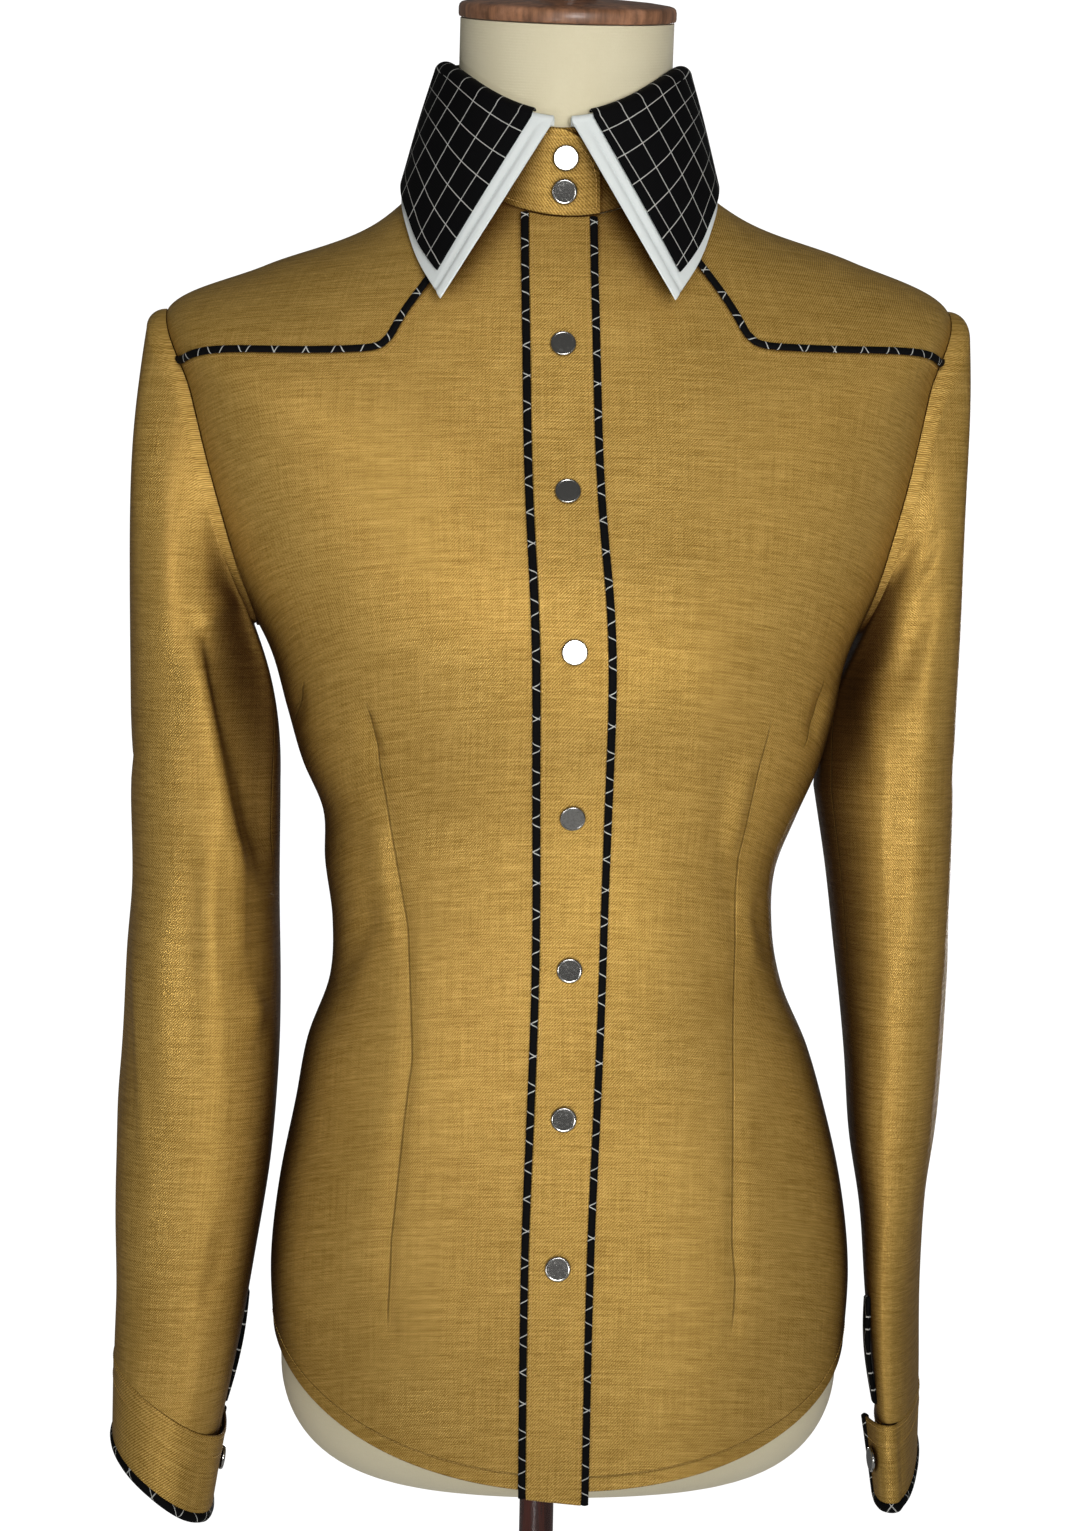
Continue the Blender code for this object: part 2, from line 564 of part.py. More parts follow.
def yoke_seam(above):
    """The left front yoke seam from the neck to the armhole; above is +1 for the yoke and -1 for the front."""
    counts = SEAM_STEPS
    gap = 0.8 * SEAM * above
    neck = (YOKE_TURN + gap * 9, NECK_ALONG)
    corner = (YOKE_CORNER[0] + gap * 6, YOKE_CORNER[1] + gap)
    end = armhole(np.array(YOKE_MEETS_ARMHOLE), 0.0003) + np.array([0.0, gap])
    rising, level = line(neck, corner, counts[0] + 1), line(corner, end, counts[1] + 1)
    share = line(0, 1, counts[1] + 1)
    level[:, 1] -= YOKE_SAG * share**3 * np.sqrt(1 - share) / 0.238
    seam = np.concatenate([rising, level[1:]])
    at = counts[0]
    seam[at] += (seam[at - 1] + seam[at + 1] - 2 * seam[at]) * YOKE_CORNER_EASED
    return seam


def front_rows():
    """The height along the cloth of each row of the fronts, the placket and its piping."""
    return line(hem(0.0), NECK_ALONG, FRONT_ROWS[0] + FRONT_ROWS[1] + 1)


def make_front(name, side, columns=2):
    """A front from the placket to the side seam, up to the neck, the yoke seam and the armhole."""
    along = front_rows()
    middle, half = band("middle", along), band("half", along)
    if side > 0:
        starts = [middle - half + 0.0012, middle, middle + half + 0.003]
    else:
        starts = [middle - half + 0.0007]
    strips = [stack(turn_at(x, along) * side, along) for x in starts]
    seam = yoke_seam(-1)
    top = np.concatenate([line(strips[-1][-1], seam[0], columns + 1), seam[1:]])
    side_turn = np.pi / 2 - SIDE_GAP
    low, under = hem(side_turn), ARMHOLE_MIDDLE - ARMHOLE_RISE - 0.0003
    place = line(np.pi - 0.02, YOKE_MEETS_ARMHOLE, FRONT_ROWS[1] + 1)
    rise = line((side_turn, low), (side_turn, under), FRONT_ROWS[0] + 1)
    outer = np.concatenate([rise, armhole(place, 0.0003)[1:]])
    foot = line(strips[-1][0][0], side_turn, len(top))
    pairs = fill(stack(foot, hem(foot)), top, strips[-1], outer)
    pairs = np.concatenate([np.stack(strips[:-1], 1), pairs], axis=1) if side > 0 else pairs
    return panel(name, "tan_twill", mirrored(pairs, side))


def make_back(name, rows=(10, 7), columns=16):
    turn = line(np.pi / 2 + SIDE_GAP, 3 * np.pi / 2 - SIDE_GAP, columns + 1)
    place = line(-(np.pi - 0.02), -YOKE_MEETS_ARMHOLE, rows[1] + 1)
    hole = armhole(place, 0.0003)
    under = ARMHOLE_MIDDLE - ARMHOLE_RISE - 0.0003
    rise = line((turn[0], hem(turn[0])), (turn[0], under), rows[0] + 1)
    left = np.concatenate([rise, hole[1:]])
    right = left * [-1, 1] + [2 * np.pi, 0]
    seam = back_seam(left[-1], columns)
    pairs = fill(stack(turn, hem(turn)), seam - [0, 0.8 * SEAM], left, right, np.pi)
    return panel(name, "tan_twill", pairs)


def back_seam(start, columns):
    """The back yoke seam: level, with a shallow western dip at the centre back."""
    turn = line(start[0], 2 * np.pi - start[0], columns + 1)
    share = np.clip(1 - np.abs(turn - np.pi) / (np.pi - start[0]), 0, 1)
    return stack(turn, start[1] + 0.022 * np.sqrt(share) - BACK_YOKE_POINT * share**2)


def make_yoke_front(name, side, rows=6):
    bottom = yoke_seam(1)
    top_turn = np.pi / 2 - SIDE_GAP
    place = line(YOKE_MEETS_ARMHOLE, 0.04, rows + 1)
    outer = armhole(place, 0.0003)
    top = line((top_turn, NECK_ALONG), (top_turn, outer[-1][1]), len(bottom))
    inner = line(bottom[0], top[0], rows + 1)
    return panel(name, "tan_twill", mirrored(fill(bottom, top, inner, outer), side))


def make_yoke_back(name, rows=6, columns=(4, 8, 4)):
    place = line(-YOKE_MEETS_ARMHOLE, -0.04, rows + 1)
    left = armhole(place, 0.0003)
    right = left * [-1, 1] + [2 * np.pi, 0]
    turn = np.pi / 2 + SIDE_GAP
    neck_left, neck_right = (turn, NECK_ALONG), (2 * np.pi - turn, NECK_ALONG)
    top = np.concatenate([
        line((turn, left[-1][1]), neck_left, columns[0] + 1),
        line(neck_left, neck_right, columns[1] + 1)[1:],
        line(neck_right, (2 * np.pi - turn, left[-1][1]), columns[2] + 1)[1:],
    ])
    bottom = back_seam(left[0], sum(columns)) + [0, 0.8 * SEAM]
    return panel(name, "tan_twill", fill(bottom, top, left, right, np.pi))


BAND_LIFT = CLOTH + 0.0007  # outer face of the placket above the fronts
PLACKET_BELOW, PLACKET_SLANT = 0.0050, 0.10  # how far it reaches below the hem


def make_placket(columns=4):
    """The band over the closing edges, cut a little aslant at the hem, and its two pipings."""
    rows = front_rows()
    rows[-1] -= 4 * SEAM
    middle, half = band("middle", rows)[:, None], band("half", rows)[:, None]

    def cut(x):
        along = np.broadcast_to(rows[:, None], x.shape).copy()
        along[0] -= PLACKET_BELOW + PLACKET_SLANT * (x[0] - middle[0])
        return stack(turn_at(x, along), along)

    reach = half - PIPING_WIDE / 2 - SEAM
    panel("placket", "tan_twill", cut(middle + reach * line(-1, 1, columns + 1)[None]), BAND_LIFT)
    for hand, side in (("right", -1), ("left", 1)):
        make_piping(f"piping_placket_{hand}", cut(middle + side * half)[:, 0])


def make_piping(name, pairs):
    """Piping laid along a line of (turn, along) pairs on the body."""
    turn, along = pairs[:, 0], pairs[:, 1]
    high = normal(body, turn, along)
    centre = body(turn, along) + high * (SEAM + PIPING_HIGH / 2)
    run = np.gradient(centre, axis=0)
    wide = np.cross(high, run)
    wide /= np.linalg.norm(wide, axis=1, keepdims=True)
    return bar(name, "black_windowpane", centre, wide, high, PIPING_WIDE / 2, PIPING_HIGH / 2)


def make_yoke_piping(name, side):
    pairs = (yoke_seam(1) + yoke_seam(-1)) / 2
    pairs[0, 1] -= YOKE_PIPING_SHORT[0]
    pairs[-1, 0] -= YOKE_PIPING_SHORT[1]
    return make_piping(name, mirrored(pairs, side))


def make_snap(name, centre, axis):
    radius, thick = SNAP_RADIUS, SNAP_THICK
    profile = [(0, 0), (radius, 0), (radius, thick * 0.55), (radius * 0.90, thick), (0, thick * 1.08)]
    lathe(name, "snap_metal", profile, 12, centre, axis)


def make_front_snaps():
    for number, z in enumerate(SNAP_HEIGHTS, 1):
        turn, along = front_at(band("middle", np.array(z)), z)
        rows = front_rows()
        above = np.searchsorted(rows, along)
        ends = lifted(body, turn, rows[[above - 1, above]], BAND_LIFT + 1.5 * SEAM)
        share = (along - rows[above - 1]) / (rows[above] - rows[above - 1])
        centre = ends[0] + (ends[1] - ends[0]) * share
        make_snap(f"snap_front_{number}", centre, normal(body, turn, along))


# ---- sleeves and cuffs -----------------------------------------------------------------------------
def make_sleeve(hand, around=18, down_steps=(2, 6, 7)):
    side, table = HANDS[hand]
    surface = sleeve(side, table)
    down = np.concatenate([
        line(0, HEAD, down_steps[0] + 1),
        line(HEAD, UPPER, down_steps[1] + 1)[1:],
        line(UPPER, 0.9993, down_steps[2] + 1)[1:],
    ])[:, None]
    place = (np.arange(around) * 2 * np.pi / around)[None]
    outer = sleeve_lifted(side, surface, place, down, 0.0)
    wall(f"sleeve_{hand}", "tan_twill", outer, sleeve_lifted(side, surface, place, down, -CLOTH), True)


def make_cuff(hand, around=20, rows=3):
    """A cuff with its outer end lapped over the inner one, its piping and its snap."""
    side, table = HANDS[hand]
    surface = sleeve(side, table)
    starts, stand_off = OPENINGS[hand].starts, OPENINGS[hand].flare
    ends = starts + 2 * np.pi + CUFF_LAP
    down = line(1.006, 1.99, rows + 1)[:, None]
    place = line(starts, ends, around + 1)[None]
    over = np.clip((place - ends + 2 * CUFF_LAP + CUFF_RISE) / CUFF_RISE, 0, 1)
    flare = stand_off * np.clip((place - ends + CUFF_LAP) / CUFF_LAP, 0, 1) ** 2 * (2.05 - down)
    lift = (SEAM + (CLOTH + 3 * SEAM) * over + flare)[..., None]
    outer = sleeve_lifted(side, surface, place, down, lift)
    inner = sleeve_lifted(side, surface, place, down, lift - CLOTH)
    wall(f"cuff_{hand}", "tan_twill", outer, inner)
    make_cuff_piping(hand, outer, inner)
    spot, middle = np.array(ends - 0.6 * CUFF_LAP), np.array(1.5)
    foot = sleeve_lifted(side, surface, spot, middle, CLOTH + 5 * SEAM + stand_off * 0.35)
    make_snap(f"snap_cuff_{hand}", foot, foot - surface(spot, middle))


def make_cuff_piping(hand, outer, inner):
    """Piping along the cuff's lower edge, round the corner and up its lapped end."""
    mid = (outer + inner) / 2
    fall = unit(mid[-1] - mid[-2])
    past = unit(mid[:, -1] - mid[:, -2])
    reach = SEAM + PIPING_ROUND
    foot = (mid[-1] + fall * reach)[CUFF_HIDDEN:]
    end = (mid[:, -1] + past * reach)[::-1]
    turned = unit(fall[-1] + past[-1])
    foot[-1] -= past[-1] * CORNER_ROUND
    end[0] -= fall[-1] * CORNER_ROUND
    centre = np.concatenate([foot, [mid[-1, -1] + turned * reach], end])
    wide = np.concatenate([fall[CUFF_HIDDEN:], [turned], past[::-1]])
    thick = unit(np.cross(wide, np.gradient(centre, axis=0)))
    bar(f"piping_cuff_{hand}", "black_windowpane", centre, wide, thick, PIPING_ROUND, PIPING_ROUND)


def make_binding(hand, rows=8):
    """The black binding of the sleeve slit, a strip that stands a little off the sleeve."""
    side, table = HANDS[hand]
    surface = sleeve(side, table)
    down = line(SLIT_TOP, SLIT_END, rows + 1)[:, None]
    place = (OPENINGS[hand].starts + SLIT_AFTER + SLIT_HALF * np.array([-1.0, 0.0, 1.0]))[None]
    share = (down - SLIT_TOP) / (SLIT_END - SLIT_TOP)
    lift = (SEAM + OPENINGS[hand].slit_flare * np.sin(np.pi * share) + 0 * place)[..., None]
    outer = sleeve_lifted(side, surface, place, down, lift + CLOTH)
    inner = sleeve_lifted(side, surface, place, down, lift)
    wall(f"sleeve_binding_{hand}", "black_windowpane", outer, inner)


# ---- collar ----------------------------------------------------------------------------------------
def make_stand(around=36, rows=3):
    """A spiral band: its right end laps over the left one at the front, with a rounded corner."""
    turn = line(STAND_LAP, STAND_UNDER - 2 * np.pi, around + 1)[None]
    gone = np.clip((STAND_LAP - turn) / STAND_ROUND, 0, 1)
    low, high = STAND_END_HIGH
    share = line(0, 1, rows + 1)[:, None] * (low + (high - low) * np.sqrt(1 - (1 - gone) ** 2))
    turn = np.broadcast_to(turn, share.shape)
    under = np.clip((STAND_STEPS_IN - turn - 2 * np.pi) / STAND_STEP, 0, 1)
    lift = (STAND_LIFT - (CLOTH + 2 * SEAM) * under)[..., None]
    inner = lifted(stand, turn, share, lift - CLOTH)
    wall("collar_stand", "tan_twill", lifted(stand, turn, share, lift), inner)
    for number, share in enumerate(COLLAR_SNAPS, 1):
        turn, share = np.array(COLLAR_SNAP_TURN), np.array(share)
        high = normal(stand, turn, share)
        make_snap(f"snap_collar_{number}", stand(turn, share) + high * (STAND_LIFT + SEAM), high)


def make_leaves(columns=26, rows=(6, 5)):
    """The white under leaf and, laid on it, the black leaf with its last column and row drawn back."""
    v = line(-1, 1, columns + 1)[None]
    w = np.concatenate([line(0, FOLD, rows[0] + 1), line(FOLD, 1, rows[1] + 1)[1:]])[:, None]
    v, w = np.broadcast_arrays(v, w)
    outer = lifted(collar, v, w, CLOTH)
    wall("collar_white", "white_cotton", outer, lifted(collar, v, w, 0.0))
    faces = []
    for lift in (2 * CLOTH + 2 * SEAM, CLOTH + 2 * SEAM):
        face = lifted(collar, v, w, lift)[3:]
        face[:, 0] += (face[:, 1] - face[:, 0]) * BLACK_BACK
        face[:, -1] += (face[:, -2] - face[:, -1]) * BLACK_BACK
        face[-1] += (face[-2] - face[-1]) * BLACK_UP
        faces.append(face)
    wall("collar_black", "black_windowpane", *faces)


# ---- dress form and stand --------------------------------------------------------------------------
def form_neck_axis():
    return np.array([0.0, -np.sin(FORM_NECK_LEAN), np.cos(FORM_NECK_LEAN)])


def make_form(around=26):
    """One smooth closed body: rounded bottom, torso inside the cloth, and the neck up to its cap."""
    turn = np.arange(around) * 2 * np.pi / around
    widest = FORM_BOTTOM + FORM_ROUNDING
    centre = np.array([smooth(BODY, "along", "shift", widest), FORM_MIDDLE, 0.0])
    rings = []
    for angle in np.radians(FORM_BOTTOM_ANGLES):
        ring = lifted(body, turn, np.full_like(turn, widest), -FORM_SEAT)
        ring = centre + (ring - centre) * np.sin(angle) ** FORM_FULL
        ring[:, 2] = widest - FORM_ROUNDING * np.cos(angle)
        rings.append(ring)
    for along, depth in FORM_RINGS:
        rings.append(lifted(body, turn, np.full_like(turn, along), -depth))
    axis = form_neck_axis()
    ahead = np.array([0.0, np.cos(FORM_NECK_LEAN), np.sin(FORM_NECK_LEAN)])
    spokes = np.sin(turn)[:, None] * np.array([1.0, 0, 0]) - np.cos(turn)[:, None] * ahead
    root = np.array([0.0, 0.0, FORM_NECK_ROOT])
    for z in (FORM_NECK_LOW, FORM_NECK_TOP):
        middle = root + axis * (z - FORM_NECK_ROOT) / axis[2]
        rings.append(middle + spokes * FORM_NECK_RADIUS)
    rings = np.array(rings)
    foot_point = centre + np.array([0.0, 0.0, FORM_BOTTOM])
    points = np.concatenate([rings.reshape(-1, 3), [foot_point], [middle]])
    index = np.arange(rings.shape[0] * around).reshape(-1, around)
    index = np.hstack([index, index[:, :1]])
    foot, top = len(points) - 2, len(points) - 1
    faces = list(grid_faces(index))
    faces += [(foot, b, a) for a, b in zip(index[0][:-1], index[0][1:])]
    faces += [(top, a, b) for a, b in zip(index[-1][:-1], index[-1][1:])]
    solid("form_torso", "form_jersey", points, faces)
    return middle, axis


def make_cap(middle, axis):
    """Turned wooden neck cap and a plain finial on it."""
    foot = middle + axis * SEAM
    lathe("form_neck_cap", "worn_wood", CAP, 32, foot, axis)
    lathe("form_finial", "dark_wood", FINIAL, 18, foot + axis * (CAP_TOP + SEAM), axis)


def make_stand_parts():
    """Round base with a turned foot, and the pole up to the form's underside."""
    lathe("stand_base", "dark_wood", BASE, 32)
    low, high = BASE_TOP + SEAM, FORM_BOTTOM - SEAM
    pole = (Turned(0, low), Turned(POLE_RADIUS, low), Turned(POLE_RADIUS, high), Turned(0, high))
    lathe("stand_pole", "dark_wood", pole, 20)


def main():
    for old in list(bpy.data.objects):
        bpy.data.objects.remove(old, do_unlink=True)
    for hand, (side, _) in HANDS.items():
        make_front(f"front_{hand}", side)
        make_yoke_front(f"yoke_front_{hand}", side)
        make_yoke_piping(f"piping_yoke_{hand}", side)
        make_sleeve(hand)
        make_cuff(hand)
        make_binding(hand)
    make_back("back")
    make_yoke_back("yoke_back")
    make_placket()
    make_front_snaps()
    make_stand()
    make_leaves()
    middle, axis = make_form()
    make_cap(middle, axis)
    make_stand_parts()


if __name__ == "__main__":
    main()
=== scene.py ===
"""Western snap shirt worn by a limbless dress form on a turned stand, dressed and lit.

Metres, +Z up, the shirt's front towards -Y. Left and right are the wearer's, so right is at -X.
"""

from collections import namedtuple

import bmesh
import bpy
import numpy as np
from bpy.props import FloatProperty, FloatVectorProperty, PointerProperty
from bpy.types import Operator, Panel, PropertyGroup
from mathutils import Matrix, Vector


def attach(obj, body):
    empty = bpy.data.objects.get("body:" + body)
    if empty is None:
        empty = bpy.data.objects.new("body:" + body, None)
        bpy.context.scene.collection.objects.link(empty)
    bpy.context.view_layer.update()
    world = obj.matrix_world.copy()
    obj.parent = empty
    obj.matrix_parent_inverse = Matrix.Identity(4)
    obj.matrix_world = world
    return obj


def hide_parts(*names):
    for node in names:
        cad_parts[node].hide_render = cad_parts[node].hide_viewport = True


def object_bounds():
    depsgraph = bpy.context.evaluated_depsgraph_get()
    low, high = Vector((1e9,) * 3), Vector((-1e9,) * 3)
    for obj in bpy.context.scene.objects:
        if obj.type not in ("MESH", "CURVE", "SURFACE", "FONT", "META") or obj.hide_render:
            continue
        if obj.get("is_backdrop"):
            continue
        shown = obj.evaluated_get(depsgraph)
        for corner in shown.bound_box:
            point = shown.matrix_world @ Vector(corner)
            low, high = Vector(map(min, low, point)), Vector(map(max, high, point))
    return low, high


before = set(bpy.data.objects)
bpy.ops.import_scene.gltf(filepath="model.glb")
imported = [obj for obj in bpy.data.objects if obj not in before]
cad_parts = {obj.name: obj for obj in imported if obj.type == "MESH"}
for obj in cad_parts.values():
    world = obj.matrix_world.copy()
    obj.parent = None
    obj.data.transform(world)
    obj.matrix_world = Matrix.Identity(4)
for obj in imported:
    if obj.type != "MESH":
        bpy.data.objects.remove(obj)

CAD_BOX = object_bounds()

bl_info = {
    "name": "Western Snap Shirt",
    "version": (1, 0, 0),
    "blender": (4, 5, 0),
    "location": "View3D > Sidebar > Shirt",
    "description": "Sews a fitted western shirt with snaps and piping on a dress form",
    "category": "Mesh",
}

# ---- driving sizes ----
LAYER = 0.0015  # one layer of cloth in the solids, which sets how far pieces stand off
SEAM = 0.0004  # clear space between two pieces
SQUARE = 0.09  # how far the torso's section is squarer than an ellipse
NECK_ALONG = 1.43  # the neck seam, in metres along the cloth
WIDEST_ALONG = 1.32  # the shoulder's end, where the cloth is widest
YOKE_TURN = np.radians(41)  # where the front yoke seam meets the neck seam
YOKE_CORNER = (np.radians(31.2), 1.350)  # turn and along of the yoke's western corner
YOKE_SAG = 0.0040  # how far it sags below a straight run just before the armhole
YOKE_PIPING_SHORT = (0.001, 0.004)  # the yoke piping ends clear of the neck seam and of the armhole
ARMHOLE_MIDDLE, ARMHOLE_RISE = 1.249, 0.071  # along, half its height
ARMHOLE_REACH, ARMHOLE_ROUND = np.radians(18), 2.4  # half its width, and its superellipse power
ARMHOLE_GAP = 0.0003  # the panels end this far outside it
UNDERARM = ARMHOLE_MIDDLE - ARMHOLE_RISE - ARMHOLE_GAP
YOKE_MEETS_ARMHOLE = np.radians(53.5)  # place round the armhole where the front yoke ends
BACK_YOKE_RISE, BACK_YOKE_POINT = 0.022, 0.018  # how far its seam rises, and dips at the middle
HEM_SIDE, HEM_DROP, HEM_POWER = 0.822, 0.0625, 1.3
SIDE_GAP = 0.0028  # radians kept clear of a seam that runs up or over the body

SNAP_RADIUS, SNAP_THICK = 0.0063, 0.0018
SNAP_HEIGHTS = (1.3172, 1.2457, 1.1703, 1.0903, 1.0145, 0.9424, 0.8703)
COLLAR_SNAPS = (0.27, 0.65)  # shares of the stand's height
COLLAR_SNAP_TURN = np.radians(2.2)
# How far each cap nods down or up from square with the cloth, as a share of its axis.
SNAP_NOD = (0.0, 0.03, 0.05, -0.02, -0.15, -0.19, -0.03)
STAND_SNAP_NOD = (-0.08, 0.06)
BAND_LIFT = LAYER + 0.0007  # outer face of the placket above the fronts
PLACKET_BELOW, PLACKET_SLANT = 0.0050, 0.10  # how far it reaches below the hem
PIPING_WIDE, PIPING_HIGH, PIPING_ROUND = 0.0038, 0.0016, 0.0017
CUFF_LAP, CUFF_RISE = np.radians(24), np.radians(30)
# A cuff's opening: where its under end starts, and how far its lapped end and the binding stand off.
Opening = namedtuple("Opening", "starts flare slit_flare")
OPENINGS = {
    "right": Opening(np.radians(180), 0.0010, 0.0015),
    "left": Opening(np.radians(112), 0.0022, 0.0018),
}
SLIT_TOP, SLIT_END = 0.89, 0.985  # shares of the sleeve's way down
SLIT_AFTER, SLIT_HALF = np.radians(16), 0.10  # middle of the slit past the cuff's under end
BINDING_THICK, BINDING_LIFT, BINDING_CUT = 0.0024, 0.0014, (0.011, 0.04)  # the last is its cut's size
HEAD = 0.05  # the sleeve head's rounding takes this share of the sleeve's way down
UPPER = 0.42  # and the upper arm ends at this share
HEAD_OUT, HEAD_DOWN = 0.0100, 0.0088
UPPER_SWELL = {-1: (0.0055, 0.0050), 1: (0.0016, 0.0050)}  # its outer and inner fullness, right and left

NECK_TURN, NECK_SHIFT = np.radians(-3.8), -0.0012  # the collar sits a little round to the right
STAND_RADIUS, STAND_BACK = 0.0575, 0.010  # top ring of the collar stand and how far forward it leans
STAND_TOP = {"side": 1.450, "front": 1.4240, "back": 1.461}
STAND_LAP, STAND_UNDER = np.radians(18), np.radians(-16)
STAND_ROUND = np.radians(22)  # the lapped end is rounded over this much of the ring
STAND_END_LOW, STAND_END_RISE = 0.35, 0.63  # it starts at this share of its height, and rises by this
STAND_STEPS_IN, STAND_STEP = np.radians(50), np.radians(30)  # where the under end dips below the lap
STAND_LIFT = 0.0014  # outer face of the stand above the neck seam's ring
ROLL = 0.0017  # inner radius of the collar's fold
FOLD, FOLD_WALL = 0.26, 0.25  # share of the collar's way that its fold takes, and of that its wall
FOLD_CREST = {"side": 1.458, "front": 1.4275, "back": 1.471}
LEAF_SWELL = 0.0012  # how far the leaves swell out between fold and edge
WHITE_START = np.radians(4.5)  # the white leaf's front edges start this far from the centre front
COLLAR_LEAN = 0.012  # its left side stands a little higher
BLACK_SIDE, BLACK_START, BLACK_END = 0.9446, 0.13, 0.945

FORM_INSET, FORM_SEAT = 0.0065, 0.0031  # how far below the cloth it is, and where it carries the shirt
FORM_BOTTOM, FORM_ROUNDING, FORM_FULL = 0.742, 0.062, 0.42
FORM_MIDDLE = 0.008  # its bottom's centre is this far behind the origin
FORM_NECK_FROM, FORM_NECK_START, FORM_NECK_TOP = 1.40, 1.452, 1.483
FORM_NECK_RADIUS, FORM_NECK_LEAN = 0.0535, np.radians(11)
FORM_NECK_AXIS = np.array([0.0, -np.sin(FORM_NECK_LEAN), np.cos(FORM_NECK_LEAN)])
CAP_RADIUS, CAP_THICK, CAP_CROWN = 0.0545, 0.0075, 0.003
POLE_RADIUS, BASE_RADIUS, BASE_THICK, BASE_BOSS = 0.0088, 0.180, 0.022, 0.018

# Rows of stitches: how far the threads stand off, and how far rows and the hem's mark lie in from an edge.
STITCH_LIFT = 0.00004
HEM_STITCH, HEM_MARK, YOKE_STITCH, BACK_STITCH = 0.0072, 0.0068, 0.0034, 0.0030
CUFF_STITCHES = (1.045, 1.27)  # down the cuff
HEM_METRES, YOKE_METRES = 0.14, 0.16  # metres for each radian round the body, at the hem and the yokes

# The studio: each light's power is a setting below.
Lamp = namedtuple("Lamp", "place target size spread")
LAMPS = {
    "key": Lamp((0.22, -2.7, 1.08), (0.0, 0.0, 1.20), (1.0, 0.5), 36),
    "low": Lamp((-0.8, -2.4, 0.35), (0.0, 0.0, 1.10), (0.8, 0.4), 22),
    "top": Lamp((0.25, -2.0, 1.9), (0.0, 0.0, 1.46), (0.5, 0.4), 60),
    "back": Lamp((0.4, 2.9, 0.95), (0.0, 0.0, 1.10), (1.6, 1.0), 90),
    "fill": Lamp((2.2, -2.2, 1.4), (0.0, 0.0, 1.05), (1.0, 1.6), 180),
}
FLOOR_RADII, FLOOR_SIDES, FLOOR_DROP = (0.5, 1.0, 1.5, 2.1), 48, 0.0004
BACKDROP = 1.1  # strength of the white backdrop as the camera sees it
CAMERA_AWAY, CAMERA_TURN, CAMERA_HEIGHT = 1.8, np.radians(4), 1.213
CAMERA_AIM, CAMERA_SEES, CAMERA_ROLL = (-0.0055, 0.0, 1.109), 0.781, np.radians(1.1)
SENSOR = 36

# ---- tables: a row for each ring ----
Ring = namedtuple("Ring", "along z_side z_front z_back half shift front back lean")
BODY = (
    Ring(0.720, 0.720, 0.720, 0.720, 0.1419, 0.0099, 0.095, 0.114, 0.000),
    Ring(0.760, 0.760, 0.760, 0.760, 0.1434, 0.0099, 0.097, 0.118, 0.000),
    Ring(0.810, 0.810, 0.810, 0.810, 0.1459, 0.0099, 0.099, 0.122, 0.000),
    Ring(0.856, 0.856, 0.856, 0.856, 0.1483, 0.0096, 0.100, 0.124, 0.000),
    Ring(0.897, 0.897, 0.897, 0.897, 0.1440, 0.0091, 0.099, 0.122, 0.000),
    Ring(0.938, 0.938, 0.938, 0.938, 0.1352, 0.0081, 0.096, 0.115, 0.000),
    Ring(0.969, 0.969, 0.969, 0.969, 0.1276, 0.0061, 0.092, 0.106, 0.000),
    Ring(1.000, 1.000, 1.000, 1.000, 0.1156, 0.0046, 0.089, 0.096, 0.000),
    Ring(1.030, 1.030, 1.030, 1.030, 0.1122, 0.0022, 0.088, 0.087, 0.000),
    Ring(1.060, 1.060, 1.060, 1.060, 0.1148, 0.0007, 0.091, 0.083, 0.000),
    Ring(1.085, 1.085, 1.085, 1.085, 0.1203, 0.0048, 0.096, 0.085, 0.000),
    Ring(1.110, 1.110, 1.110, 1.110, 0.1310, 0.0046, 0.104, 0.090, 0.000),
    Ring(1.137, 1.137, 1.137, 1.137, 0.1388, 0.0042, 0.115, 0.096, 0.000),
    Ring(1.166, 1.166, 1.166, 1.166, 0.1460, 0.0028, 0.122, 0.101, 0.000),
    Ring(1.200, 1.204, 1.195, 1.198, 0.1640, 0.0012, 0.1205, 0.105, 0.004),
    Ring(1.240, 1.253, 1.222, 1.234, 0.1800, 0.0005, 0.114, 0.107, 0.010),
    Ring(1.280, 1.301, 1.247, 1.268, 0.1910, 0.0000, 0.106, 0.107, 0.018),
    Ring(1.320, 1.3405, 1.274, 1.302, 0.1970, 0.0000, 0.097, 0.104, 0.020),
    Ring(1.360, 1.3635, 1.312, 1.346, 0.1480, -0.0005, 0.085, 0.096, 0.030),
    Ring(1.400, 1.3843, 1.352, 1.394, 0.0930, 0.0000, 0.072, 0.078, 0.028),
    Ring(1.430, 1.4105, 1.3815, 1.436, 0.0600, -0.0015, 0.060, 0.056, 0.000),
)

Band = namedtuple("Band", "z middle half")
PLACKET = (
    Band(0.740, 0.0015, 0.0152),
    Band(0.870, 0.0010, 0.0158),
    Band(1.030, 0.0048, 0.0164),
    Band(1.160, 0.0020, 0.0182),
    Band(1.260, -0.0025, 0.0174),
    Band(1.400, -0.0052, 0.0168),
)

